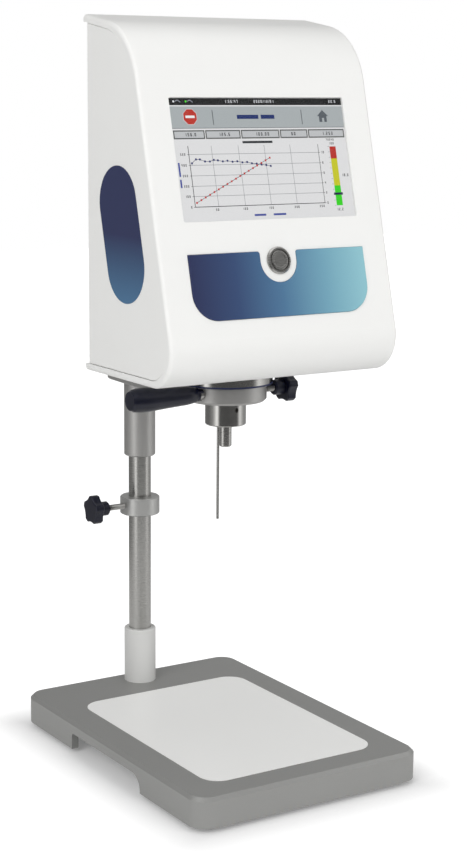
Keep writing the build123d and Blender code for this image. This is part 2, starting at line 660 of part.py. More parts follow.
def encoder_reader():
    """Fork that looks at the rim of the disc from both sides."""
    low = INSIDE_LOW + CHASSIS_THICKNESS
    rim = SPINDLE_Y - ENCODER_RADIUS
    body = slab(-6, 6, rim - 9, rim + 3, low, ENCODER_Z + 6)
    return body - slab(-7, 7, rim - 1.5, rim + 4, ENCODER_Z - 2, ENCODER_Z + 3) - slab(
        -7, 7, rim - 1.5, rim + 4, low - 1, ENCODER_Z - 6
    )


def drive_hub():
    """Hub on the motor shaft that holds the wire's upper end."""
    body = rod(HUB_RADIUS, HUB_LOW, HUB_HIGH, 0, SPINDLE_Y)
    body = chamfer(body.faces().filter_by(Axis.Z).edges(), 0.6)
    body -= rod(WIRE_RADIUS + RUNNING_FIT, HUB_LOW - 1, MOTOR_SHAFT_LOW, 0, SPINDLE_Y)
    return body - rod(MOTOR_SHAFT_RADIUS, MOTOR_SHAFT_LOW, HUB_HIGH + 1, 0, SPINDLE_Y)


def motor_shaft():
    top = MOTOR_PLATE_LOW + MOTOR_PLATE_THICKNESS + 8
    return rod(MOTOR_SHAFT_RADIUS, MOTOR_SHAFT_LOW, top, 0, SPINDLE_Y)


def motor_plate():
    outline = Pos(0, SPINDLE_Y) * RectangleRounded(2 * PILLAR_X + 14, 2 * PILLAR_Y + 16, 5)
    plate = Pos(0, 0, MOTOR_PLATE_LOW) * extrude(outline, MOTOR_PLATE_THICKNESS)
    return plate - rod(6, MOTOR_PLATE_LOW - 1, MOTOR_PLATE_LOW + MOTOR_PLATE_THICKNESS + 1, 0, SPINDLE_Y)


def motor():
    low = MOTOR_PLATE_LOW + MOTOR_PLATE_THICKNESS
    body = rod(MOTOR_RADIUS, low, low + MOTOR_LENGTH, 0, SPINDLE_Y)
    body = fillet(body.faces().sort_by(Axis.Z)[-1].edges(), 1.5)
    groove = tube(MOTOR_RADIUS + 1, MOTOR_RADIUS - 0.6, low + 20, low + 21, 0, SPINDLE_Y)
    return body - groove - rod(MOTOR_SHAFT_RADIUS + RUNNING_FIT, low - 1, low + 9, 0, SPINDLE_Y)


def motor_pillar(x, y):
    return rod(PILLAR_RADIUS, INSIDE_LOW + CHASSIS_THICKNESS, MOTOR_PLATE_LOW, x, y + SPINDLE_Y)


def probe():
    """Thin temperature probe with a rounded tip."""
    body = rod(PROBE_RADIUS, PROBE_LOW, PROBE_TOP, 0, PROBE_Y)
    return fillet(body.faces().sort_by(Axis.Z)[0].edges(), PROBE_RADIUS - 0.1)


def probe_gland():
    body = tube(GLAND_RADIUS, PROBE_RADIUS, SPIGOT_LOW - GLAND_HEIGHT, SPIGOT_LOW, 0, PROBE_Y)
    return chamfer(circle_edges(body, GLAND_RADIUS).sort_by(Axis.Z)[:1], 0.5)


# Head shell and cheeks

def head_section(inset):
    """Side view of the head, a distance inside its outer face and running out to the back."""
    far = HEAD_BACK + 50
    top_back = HEAD_TOP_FRONT_Z + HEAD_TOP_SLOPE * (far - HEAD_TOP_FRONT_Y)
    corners = [(far, HEAD_LOW), (HEAD_FRONT, HEAD_LOW), (HEAD_TOP_FRONT_Y, HEAD_TOP_FRONT_Z), (far, top_back)]
    section = make_face(Polyline(*corners, close=True))
    front = section.vertices().sort_by(Axis.X)
    section = fillet(front[0:1], HEAD_BOTTOM_RADIUS)
    upper = section.vertices().filter_by(lambda v: abs(v.Y - HEAD_TOP_FRONT_Z) < 0.01)
    section = fillet(upper, HEAD_TOP_RADIUS)
    if inset:
        section = offset(section, -inset, kind=Kind.INTERSECTION)
    return section


def behind(back):
    """Space behind an upright plane across the head, with room to spare all round."""
    far = HEAD_BACK + 80
    top = HEAD_TOP_FRONT_Z + HEAD_TOP_SLOPE * (far - HEAD_TOP_FRONT_Y)
    return slab(-HEAD_HALF_WIDTH - 10, HEAD_HALF_WIDTH + 10, back, far, HEAD_LOW - 20, top + 20)


def head_slice(inset, x_low, x_high, back):
    """Part of the head's inside between two planes across X, cut off at the back."""
    body = extrude(Plane.YZ * head_section(inset), x_high - x_low)
    return Pos(x_low, 0, 0) * body - behind(back)


def on_face(shape, x=0.0, up=0.0, out=0.0):
    """Places a shape on the sloping front face."""
    return FACE * Pos(x, up, out) * shape


def plate_outline(grow):
    """Front plate with rounded lower corners and a round notch for the button."""
    width = 2 * (PLATE_HALF_WIDTH + grow)
    height = PLATE_HIGH - PLATE_LOW + 2 * grow
    outline = Pos(0, (PLATE_HIGH + PLATE_LOW) / 2) * Rectangle(width, height)
    outline = fillet(outline.vertices().group_by(Axis.Y)[0], PLATE_CORNER + grow)
    radius = NOTCH_RADIUS - grow
    mouth = PLATE_HIGH + grow - BUTTON_UP
    notch = Circle(radius) + Pos(0, mouth / 2 + 1) * Rectangle(2 * radius, mouth + 2)
    outline -= Pos(0, BUTTON_UP) * notch
    corners = outline.vertices().group_by(Axis.Y)[-1].sort_by(Axis.X)
    return fillet(corners[1:3], NOTCH_FILLET)


def shell_hollow():
    """Space inside the wrap, running out of both sides and the back."""
    return extrude(Plane.YZ * head_section(HEAD_WALL), HEAD_HALF_WIDTH + 5, both=True)


def shell_ledges():
    """Ribs inside the wrap that the cheeks bear on."""
    outer = CHEEK_FACE - CHEEK_THICKNESS - CHEEK_SKIRT
    rib = head_slice(HEAD_WALL - 1, outer - LEDGE_WIDTH, outer, PANEL_FRONT - 1)
    rib -= head_slice(HEAD_WALL + LEDGE_HEIGHT, outer - LEDGE_WIDTH - 1, outer + 1, PANEL_FRONT + 5)
    return rib + mirror(rib, Plane.YZ)


def panel_screw_spots():
    """Screws of the rear panel, close to the wrap's bottom and top walls."""
    top_inside = HEAD_TOP_FRONT_Z + HEAD_TOP_SLOPE * (PANEL_FRONT - HEAD_TOP_FRONT_Y) - HEAD_WALL
    low = INSIDE_LOW + PANEL_BOSS_RADIUS - 1
    high = top_inside - PANEL_BOSS_RADIUS + 0.4
    return [(side * PANEL_BOSS_X, z) for side in (-1, 1) for z in (low, high)]


def head_shell():
    """Wrap-round moulding: bottom, sloping front and top in one wall."""
    body = extrude(Plane.YZ * head_section(0), HEAD_HALF_WIDTH, both=True)
    body = fillet(body.faces().filter_by(Axis.X).edges(), HEAD_EDGE_RADIUS)
    body -= shell_hollow()
    body -= behind(HEAD_BACK)
    ends = body.edges().filter_by(lambda e: abs(e.center().Y - HEAD_BACK) < 0.01 and e.length > HEAD_HALF_WIDTH)
    body = fillet(ends, LIP_RADIUS)
    body += shell_ledges()
    for x, z in panel_screw_spots():
        post = rearward(x, z) * rod(PANEL_BOSS_RADIUS, PANEL_BOSS_FRONT, PANEL_FRONT)
        bore = rod(PANEL_SCREW_RADIUS + THREAD_GAP, PANEL_FRONT - PANEL_SCREW_REACH - 1, PANEL_FRONT + 1)
        body += post - rearward(x, z) * bore
    middle = (GLASS_LOW + GLASS_HIGH) / 2
    height = GLASS_HIGH - GLASS_LOW
    pane = RectangleRounded(GLASS_WIDTH + 2 * LOOSE_FIT, height + 2 * LOOSE_FIT, 1.5)
    window = Rectangle(GLASS_WIDTH - 2 * WINDOW_BORDER, height - 2 * WINDOW_BORDER)
    body -= on_face(extrude(pane, 5), 0, middle, -GLASS_THICKNESS)
    body -= on_face(extrude(window, -HEAD_WALL - 5), 0, middle, 1)
    body -= on_face(extrude(plate_outline(LOOSE_FIT), 5), 0, 0, -PLATE_SINK)
    body -= on_face(extrude(Circle(BARREL_RADIUS + LOOSE_FIT), -HEAD_WALL - 5), 0, BUTTON_UP, 1)
    body -= rod(TUBE_RADIUS + LOOSE_FIT, HEAD_LOW - 1, INSIDE_LOW + 1, 0, SPINDLE_Y)
    for x, y in flange_screw_spots():
        body -= rod(FLANGE_SCREW_RADIUS + LOOSE_FIT, HEAD_LOW - 1, INSIDE_LOW + 1, x, y)
    return body


def cheek_inlay_outline():
    """Upright capsule that leans with the front face."""
    lean = 90 + degrees(FACE_ANGLE)
    return Pos(CHEEK_INLAY_Y, CHEEK_INLAY_Z) * Rot(0, 0, 180 - lean) * SlotOverall(
        CHEEK_INLAY_LENGTH, CHEEK_INLAY_WIDTH
    )


def cheek(side):
    """Side panel set inside the wrap, with a skirt that bears on the wrap's ledge."""
    inner = CHEEK_FACE - CHEEK_THICKNESS
    gap = HEAD_WALL + SEAM
    plate = head_slice(gap, inner, CHEEK_FACE, CHEEK_BACK)
    plate = fillet(plate.faces().sort_by(Axis.X)[-1].edges(), 0.8)
    skirt = head_slice(gap, inner - CHEEK_SKIRT, inner + 0.5, PANEL_FRONT - 1)
    skirt -= head_slice(gap + CHEEK_SKIRT_THICKNESS, inner - CHEEK_SKIRT - 1, inner + 1, PANEL_FRONT + 5)
    body = plate + skirt
    if side < 0:
        body = mirror(body, Plane.YZ)
        recess = extrude(Plane.YZ * cheek_inlay_outline(), -1)
        body -= Pos(-CHEEK_FACE + CHEEK_INLAY_SINK, 0, 0) * recess
    return body


def left_cheek_inlay():
    sheet = extrude(Plane.YZ * cheek_inlay_outline(), -CHEEK_INLAY_THICKNESS)
    sheet = fillet(sheet.faces().sort_by(Axis.X)[0].edges(), 0.3)
    return Pos(-CHEEK_FACE + CHEEK_INLAY_SINK, 0, 0) * sheet


# Display, front plate and push button

def display_glass():
    middle = (GLASS_LOW + GLASS_HIGH) / 2
    pane = extrude(RectangleRounded(GLASS_WIDTH, GLASS_HIGH - GLASS_LOW, 1.3), -GLASS_THICKNESS)
    return on_face(pane, 0, middle)


def display_panel():
    """Liquid crystal panel in the window behind the glass."""
    middle = (GLASS_LOW + GLASS_HIGH) / 2
    height = GLASS_HIGH - GLASS_LOW
    border = 2 * (WINDOW_BORDER + 0.4)
    sheet = extrude(Rectangle(GLASS_WIDTH - border, height - border), GLASS_THICKNESS - HEAD_WALL)
    return on_face(sheet, 0, middle, -GLASS_THICKNESS)


def display_frame():
    """Folded metal frame that holds the panel against the shell."""
    middle = (GLASS_LOW + GLASS_HIGH) / 2
    outline = RectangleRounded(SCREEN_FRAME_WIDTH, SCREEN_FRAME_HEIGHT, 3)
    room = Rectangle(SCREEN_FRAME_WIDTH - 6, SCREEN_FRAME_HEIGHT - 6)
    frame = extrude(outline, -SCREEN_FRAME_DEPTH)
    frame -= Pos(0, 0, -1.5) * extrude(room, -SCREEN_FRAME_DEPTH)
    return on_face(frame, 0, middle, -HEAD_WALL)


def front_plate():
    plate = extrude(plate_outline(0), PLATE_THICKNESS)
    plate = fillet(plate.faces().sort_by(Axis.Z)[-1].edges(), PLATE_EDGE)
    return on_face(plate, 0, 0, -PLATE_SINK)


def button_bezel():
    """Threaded barrel with the raised ring round the button."""
    rim = extrude(Circle(BEZEL_RADIUS), BEZEL_HEIGHT)
    rim = chamfer(rim.faces().sort_by(Axis.Z)[-1].edges(), 0.9)
    body = rim + extrude(Circle(BARREL_RADIUS), -BARREL_LENGTH)
    bore = Circle(CAP_RADIUS + 2 * RUNNING_FIT)
    body -= Pos(0, 0, BEZEL_HEIGHT + 1) * extrude(bore, -BEZEL_HEIGHT - 1 - CAP_DEPTH - BUTTON_TRAVEL - 1)
    body -= Pos(0, 0, BEZEL_HEIGHT + 1) * extrude(Circle(CAP_RADIUS + BEZEL_GROOVE), -BEZEL_GROOVE_DEPTH - 1)
    body -= extrude(Circle(STEM_RADIUS + LOOSE_FIT), -BARREL_LENGTH - 1)
    return on_face(body, 0, BUTTON_UP)


def button_cap():
    """Pressed piece with a raised rim and a stem to the switch."""
    cap = Pos(0, 0, CAP_HEIGHT) * extrude(Circle(CAP_RADIUS), -CAP_HEIGHT - CAP_DEPTH)
    cap -= Pos(0, 0, CAP_HEIGHT) * extrude(Circle(CAP_DISH_RADIUS), -CAP_DISH)
    cap = fillet(circle_edges(cap, CAP_RADIUS).sort_by(Axis.Z)[-1], 0.6)
    cap = fillet(circle_edges(cap, CAP_DISH_RADIUS).sort_by(Axis.Z)[-1], 0.7 * CAP_DISH)
    stem = Pos(0, 0, -CAP_DEPTH) * extrude(Circle(STEM_RADIUS), -STEM_LENGTH)
    return on_face(cap + stem, 0, BUTTON_UP)


def button_nut():
    nut = extrude(RegularPolygon(NUT_RADIUS, 6) - Circle(BARREL_RADIUS + THREAD_GAP), -NUT_THICKNESS)
    return on_face(nut, 0, BUTTON_UP, -HEAD_WALL)


def button_switch():
    """Sealed switch behind the barrel, with a well for the stem."""
    body = extrude(Circle(SWITCH_RADIUS), -SWITCH_LENGTH)
    body -= extrude(Circle(STEM_RADIUS + LOOSE_FIT), STEM_LENGTH - BARREL_LENGTH)
    for x in (-3, 3):
        body += Pos(x, 0, -SWITCH_LENGTH) * extrude(Rectangle(0.8, 2.8), -5)
    return on_face(body, 0, BUTTON_UP, -BARREL_LENGTH)


# Chassis, electronics and rear panel

def chassis_plate():
    body = slab(
        -CHASSIS_HALF_WIDTH, CHASSIS_HALF_WIDTH, CHASSIS_FRONT, CHASSIS_BACK, INSIDE_LOW,
        INSIDE_LOW + CHASSIS_THICKNESS,
    )
    body = fillet(body.edges().filter_by(Axis.Z), 6)
    body -= rod(TUBE_RADIUS + 0.5, INSIDE_LOW - 1, INSIDE_LOW + 10, 0, SPINDLE_Y)
    for x, y in flange_screw_spots():
        body -= rod(FLANGE_SCREW_RADIUS + THREAD_GAP, INSIDE_LOW - 1, INSIDE_LOW + 10, x, y)
    for x, z in panel_screw_spots():
        if z < BOARD_LOW:
            body -= rearward(x, z) * rod(PANEL_BOSS_RADIUS + 1, PANEL_BOSS_FRONT - 1, PANEL_FRONT)
    return body


def inlet_opening(grow):
    """Outline of the mains inlet, with its two cut corners at the bottom."""
    outline = Rectangle(27 + 2 * grow, 19.8 + 2 * grow)
    return chamfer(outline.vertices().group_by(Axis.Y)[0], 4)


def back_panel():
    top = HEAD_TOP_FRONT_Z + HEAD_TOP_SLOPE * (PANEL_FRONT - HEAD_TOP_FRONT_Y) - HEAD_WALL - 0.5
    low = INSIDE_LOW + PANEL_GAP
    body = slab(-PANEL_HALF_WIDTH, PANEL_HALF_WIDTH, PANEL_FRONT, PANEL_BACK, low, top)
    for x, z in panel_screw_spots():
        body -= rearward(x, z) * rod(PANEL_SCREW_RADIUS + 0.2, PANEL_FRONT - 1, PANEL_BACK + 1)
    slot = Rot(0, 0, 90) * SlotOverall(SLOT_LENGTH, SLOT_WIDTH)
    slots = Sketch() + [place * slot for place in GridLocations(SLOT_PITCH, 1, SLOT_COUNT, 1)]
    body -= rearward(0, SLOT_Z, PANEL_FRONT - 1) * extrude(slots, PANEL_THICKNESS + 2)
    through = PANEL_THICKNESS + 2
    body -= rearward(INLET_X, PORT_Z, PANEL_FRONT - 1) * extrude(inlet_opening(0.2), through)
    body -= rearward(SWITCH_X, PORT_Z, PANEL_FRONT - 1) * extrude(Rectangle(13.4, 19.4), through)
    for x, (width, height) in ((USB_X, USB_SIZE), (SERIAL_X, SERIAL_SIZE)):
        opening = Rectangle(width + 2 * PORT_GAP, height + 2 * PORT_GAP)
        body -= rearward(x, PORT_Z, PANEL_FRONT - 1) * extrude(opening, through)
    return body


def panel_screw(x, z):
    """Pan head screw of the rear panel."""
    height = PANEL_SCREW_HEAD_HEIGHT
    head = Pos(0, 0, PANEL_BACK) * extrude(Circle(PANEL_SCREW_HEAD), height)
    head = fillet(head.faces().sort_by(Axis.Z)[-1].edges(), 0.45 * height)
    head -= Pos(0, 0, PANEL_BACK + height / 2) * extrude(RegularPolygon(0.43 * PANEL_SCREW_HEAD, 6), height)
    shank = rod(PANEL_SCREW_RADIUS, PANEL_FRONT - PANEL_SCREW_REACH, PANEL_BACK)
    return rearward(x, z) * (head + shank)


def power_inlet():
    """Mains inlet with its flange, well and three pins."""
    body = extrude(inlet_opening(0), -18)
    flange = extrude(RectangleRounded(31, 24, 2), 2.5)
    well = chamfer(Rectangle(24, 16.4).vertices().group_by(Axis.Y)[0], 3)
    body += flange
    body -= Pos(0, 0, 3) * extrude(well, -18)
    for x, y in ((-7, -2), (0, 2), (7, -2)):
        body += Pos(x, y, -15.5) * extrude(Rectangle(2, 4), 14)
    return rearward(INLET_X, PORT_Z, PANEL_BACK) * body


def power_switch_body():
    """Housing of the rocker switch, open at the back."""
    body = extrude(Rectangle(13, 19), -17) + extrude(RectangleRounded(15, 21, 1), 2)
    body -= Pos(0, 0, 3) * extrude(Rectangle(11, 17.4), -14.5)
    housing = rearward(SWITCH_X, PORT_Z, PANEL_BACK) * body
    return housing - sideways(1, SWITCH_PIVOT_Y, PORT_Z, SWITCH_X) * rod(1.25, -6.1, 6.1)


def power_rocker():
    """Rocker with a hollowed face, resting on its off side."""
    rim = 5.5
    half = 7.6
    corners = [(-4.2, -5.6), (-4.2, 5.6), (rim, half), (rim - 1.3, 0), (rim, -half)]
    block = extrude(Plane.YZ * make_face(Polyline(*corners, close=True)), 5.3, both=True)
    pin = Plane.YZ.location * rod(1.2, -6.05, 6.05)
    return Pos(SWITCH_X, SWITCH_PIVOT_Y, PORT_Z) * Rot(-8, 0, 0) * (block + pin)


def data_socket(x, size, tongue):
    """Metal shell of a data socket with its inner tongue."""
    width, height = size
    body = extrude(Rectangle(width, height), -16) + extrude(Rectangle(width, height), 1)
    body -= Pos(0, 0, 2) * extrude(Rectangle(width - 1.2, height - 1.2), -14)
    body += Pos(0, tongue, -13) * extrude(Rectangle(width - 4, 2), 10)
    return rearward(x, PORT_Z, PANEL_BACK) * body


def main_board():
    body = slab(-BOARD_HALF_WIDTH, BOARD_HALF_WIDTH, BOARD_Y, BOARD_Y + BOARD_THICKNESS, BOARD_LOW, BOARD_HIGH)
    return fillet(body.edges().filter_by(Axis.Y), 3)


def board_pillars():
    spots = four_corners(BOARD_HALF_WIDTH - 6, (BOARD_HIGH - BOARD_LOW) / 2 - 6)
    middle = (BOARD_HIGH + BOARD_LOW) / 2
    return group([
        rearward(x, middle + z) * rod(3, BOARD_Y + BOARD_THICKNESS, PANEL_FRONT) for x, z in spots
    ])


collar_middle = (COLLAR_LOW + COLLAR_HIGH) / 2
collar_pad, collar_stud, collar_knob = column_clamp(-1, collar_middle, COLLAR_KNOB_FACE)
height_pad, height_stud, height_knob = column_clamp(1, HEIGHT_LOCK_Z, HEIGHT_KNOB_FACE)
foot_spots = four_corners(FOOT_X, FOOT_Y)

parts = {
    "base_casting": base_casting(),
    "base_inlay": base_inlay(),
    "base_feet": group([base_foot(x, y) for x, y in foot_spots]),
    "foot_screws": group([foot_screw(x, y) for x, y in foot_spots]),
    "column": column(),
    "column_socket": column_socket(),
    "column_bolt": column_bolt(),
    "stop_collar": stop_collar(),
    "collar_pad": collar_pad,
    "collar_stud": collar_stud,
    "collar_knob": collar_knob,
    "guide_bushes": group([guide_bush(low) for low in bush_heights()]),
    "carrier_sleeve": carrier_sleeve(),
    "carrier_arm": carrier_arm(),
    "height_lock_pad": height_pad,
    "height_lock_stud": height_stud,
    "height_lock_knob": height_knob,
    "head_lock_plug": head_lock_plug(),
    "head_lock_stud": head_lock_stud(),
    "head_lock_knob": head_lock_knob(),
    "lift_handle": lift_handle(),
    "handle_stud": handle_stud(),
    "flange_gasket": flange_gasket(),
    "head_flange": head_flange(),
    "flange_screws": group([flange_screw(x, y) for x, y in flange_screw_spots()]),
    "bearings": group([bearing(LOWER_BEARING_Z), bearing(UPPER_BEARING_Z)]),
    "spindle_coupling": spindle_coupling(),
    "coupling_screw": coupling_screw(),
    "spindle_shaft": spindle_shaft(),
    "torsion_wire": torsion_wire(),
    "encoder_disc": encoder_disc(),
    "encoder_reader": encoder_reader(),
    "drive_hub": drive_hub(),
    "motor_shaft": motor_shaft(),
    "motor_plate": motor_plate(),
    "motor": motor(),
    "motor_pillars": group([motor_pillar(x, y) for x, y in four_corners(PILLAR_X, PILLAR_Y)]),
    "probe": probe(),
    "probe_gland": probe_gland(),
    "head_shell": head_shell(),
    "left_cheek": cheek(-1),
    "right_cheek": cheek(1),
    "left_cheek_inlay": left_cheek_inlay(),
    "display_glass": display_glass(),
    "display_panel": display_panel(),
    "display_frame": display_frame(),
    "front_plate": front_plate(),
    "button_bezel": button_bezel(),
    "button_cap": button_cap(),
    "button_nut": button_nut(),
    "button_switch": button_switch(),
    "chassis_plate": chassis_plate(),
    "back_panel": back_panel(),
    "panel_screws": group([panel_screw(x, z) for x, z in panel_screw_spots()]),
    "main_board": main_board(),
    "board_pillars": board_pillars(),
    "power_inlet": power_inlet(),
    "power_switch_body": power_switch_body(),
    "power_rocker": power_rocker(),
    "data_sockets": group([data_socket(USB_X, USB_SIZE, USB_TONGUE), data_socket(SERIAL_X, SERIAL_SIZE, 0)]),
}

os.makedirs("parts", exist_ok=True)
for name, shape in parts.items():
    export_step(Pos(0, -MIDDLE_Y, -BASE_FLOOR) * shape, f"parts/{name}.step")
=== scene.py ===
import math

import bmesh
import bpy
from bpy.props import FloatProperty, FloatVectorProperty, IntProperty, PointerProperty
from mathutils import Matrix, Vector


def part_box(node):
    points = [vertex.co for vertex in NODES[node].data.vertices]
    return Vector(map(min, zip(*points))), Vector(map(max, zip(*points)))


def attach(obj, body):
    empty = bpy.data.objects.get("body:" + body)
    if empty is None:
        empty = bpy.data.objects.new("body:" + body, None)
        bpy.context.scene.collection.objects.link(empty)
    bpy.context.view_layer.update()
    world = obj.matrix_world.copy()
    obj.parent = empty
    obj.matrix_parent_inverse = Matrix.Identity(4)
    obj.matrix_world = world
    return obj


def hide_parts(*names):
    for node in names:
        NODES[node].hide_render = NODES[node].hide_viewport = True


bl_info = {
    "name": "Bench viscometer finishes",
    "version": (1, 0, 0),
    "blender": (4, 5, 0),
    "location": "3D View > Sidebar > Viscometer",
    "description": "Finishes, display picture, screw threads and studio stage of a bench viscometer",
    "category": "Object",
}

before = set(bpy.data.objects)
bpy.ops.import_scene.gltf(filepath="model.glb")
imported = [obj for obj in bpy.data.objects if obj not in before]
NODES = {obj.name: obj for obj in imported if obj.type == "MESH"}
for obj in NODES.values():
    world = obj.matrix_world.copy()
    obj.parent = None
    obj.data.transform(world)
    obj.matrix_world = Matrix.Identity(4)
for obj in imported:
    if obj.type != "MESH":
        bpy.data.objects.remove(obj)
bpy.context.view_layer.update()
MM = 0.001
WHITE = (1, 1, 1, 1)

# The display's picture lies behind its glass, on the leaning front of the head
GLASS_LOW, GLASS_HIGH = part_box("display_glass")
GLASS_THICKNESS = 1.8 * MM
FACE_RUN, FACE_RISE = 65.1, 251.9
FACE_LEAN = math.atan2(FACE_RUN, FACE_RISE)
PICTURE_MARGIN = 0.1 * MM
LAYER_STEP = 0.03 * MM


# Settings

def tone(channel):
    """Scene-linear value of one display channel from 0 to 255."""
    share = channel / 255
    return share / 12.92 if share <= 0.04045 else ((share + 0.055) / 1.055) ** 2.4


def colour(name, text, value):
    """Colour setting, given as display values from 0 to 255."""
    linear = [tone(channel) for channel in value]
    return FloatVectorProperty(
        name=name, description=text, default=linear, size=3, min=0.0, max=1.0, subtype="COLOR"
    )


def length(name, text, value):
    """Length setting in metres."""
    return FloatProperty(
        name=name, description=text, default=value, min=0.0, subtype="DISTANCE", unit="LENGTH"
    )


def angle(name, text, degrees):
    """Angle setting, given in degrees."""
    return FloatProperty(
        name=name, description=text, default=math.radians(degrees), subtype="ANGLE", unit="ROTATION"
    )


def power(name, text, watts):
    """Power setting of a lamp."""
    return FloatProperty(name=name, description=text, default=watts, min=0.0, unit="POWER")


def level(name, text, value):
    """Plain setting that isn't negative."""
    return FloatProperty(name=name, description=text, default=value, min=0.0)


class VISCOMETER_PG_colours(bpy.types.PropertyGroup):
    """Colours of the instrument's finishes."""

    housing: colour("Housing", "Moulded head shell and cheeks", (231, 231, 229))
    base_paint: colour("Base paint", "Grey paint of the base casting", (150, 150, 148))
    base_inlay: colour("Base inlay", "Light sheet in the base", (248, 248, 246))
    sleeve: colour("Column socket", "Plastic sleeve at the column's foot", (204, 204, 202))
    arm: colour("Arm", "Satin metal of the arm and its sleeve", (172, 171, 169))
    collar: colour("Light metal", "Stop collar, plates and pillars", (182, 182, 180))
    steel: colour("Steel", "Column, flange, spindle and screws", (176, 175, 172))
    brass: colour("Brass", "Pads, plug and bushes", (205, 172, 108))
    knob: colour("Grips", "Star knobs and lifting handle", (6, 9, 30))
    gasket: colour("Gasket", "Washer under the head flange", (24, 34, 74))
    rubber: colour("Rubber", "Feet", (28, 28, 29))
    black: colour("Black plastic", "Switch, inlet and reader", (24, 24, 25))
    board: colour("Circuit board", "Solder mask", (24, 92, 52))
    plate_dark: colour("Plate, dark end", "Left end of the front plate", (46, 52, 86))
    plate_navy: colour("Plate, navy", "First quarter of the front plate", (54, 74, 112))
    plate_middle: colour("Plate, middle", "Middle of the front plate", (74, 112, 146))
    plate_teal: colour("Plate, teal", "Third quarter of the front plate", (108, 156, 176))
    plate_light: colour("Plate, light end", "Right end of the front plate", (138, 188, 198))


class VISCOMETER_PG_sizes(bpy.types.PropertyGroup):
    """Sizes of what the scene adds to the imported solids."""

    stud_pitch: length("Stud pitch", "Thread pitch of the column screws", 0.8 * MM)
    lock_pitch: length("Lock pitch", "Thread pitch of the head lock screw", 1.0 * MM)
    thread_steps: IntProperty(
        name="Thread steps", description="Steps in one turn of a thread", default=18, min=6, max=64
    )
    grain: length("Moulded grain", "Size of the fine grain on plastic", 0.9 * MM)
    paint_grain: length("Paint grain", "Size of the texture in the base paint", 0.8 * MM)
    brush_mark: length("Brush mark", "Spacing of the turned marks on steel", 0.35 * MM)
    picture_depth: length("Picture depth", "Depth of the picture behind the glass face", 1.5 * MM)
    pixel: length("Pixel", "Size of one display pixel", 0.19 * MM)


class VISCOMETER_PG_stage(bpy.types.PropertyGroup):
    """Camera, floor and lamps."""

    lens: FloatProperty(
        name="Lens", description="Focal length for a 36 mm frame", default=76.34, unit="CAMERA"
    )
    yaw: angle("Heading", "Camera heading from +Y towards +X", 32.475)
    pitch: angle("Tilt", "Camera tilt below the horizon", 10.906)
    roll: angle("Roll", "Camera roll", 0.473)
    place: FloatVectorProperty(
        name="Camera place", description="Camera position", default=(-0.7429, -1.1956, 0.5306),
        size=3, subtype="TRANSLATION", unit="LENGTH",
    )
    floor_size: length("Floor", "Width of the square floor", 8.0)
    shadow_reach: length(
        "Shadow reach", "Distance from the base at which the floor is all white", 0.05
    )
    shadow_share: level("Shadow share", "White mixed into the floor at the base's edge", 0.15)
    floor_glow: level("Floor glow", "Brightness of the white in the floor", 1.2)
    ring_glow: level("Ring glow", "Brightness of the panels that metal reflects", 2.0)
    key_power: power("Key lamp", "Power of the key lamp", 31.0)
    front_power: power("Front lamp", "Power of the front lamp", 20.5)
    top_power: power("Top lamp", "Power of the top lamp", 5.5)
    ambient: level("Ambient", "Strength of the surrounding light", 0.44)


# Materials

def add_node(tree, kind, inputs=None, **settings):
    """One node, with values or links for its sockets."""
    node = tree.nodes.new(kind)
    for key, value in settings.items():
        setattr(node, key, value)
    for key, value in (inputs or {}).items():
        if isinstance(value, bpy.types.NodeSocket):
            tree.links.new(value, node.inputs[key])
        else:
            node.inputs[key].default_value = value
    return node


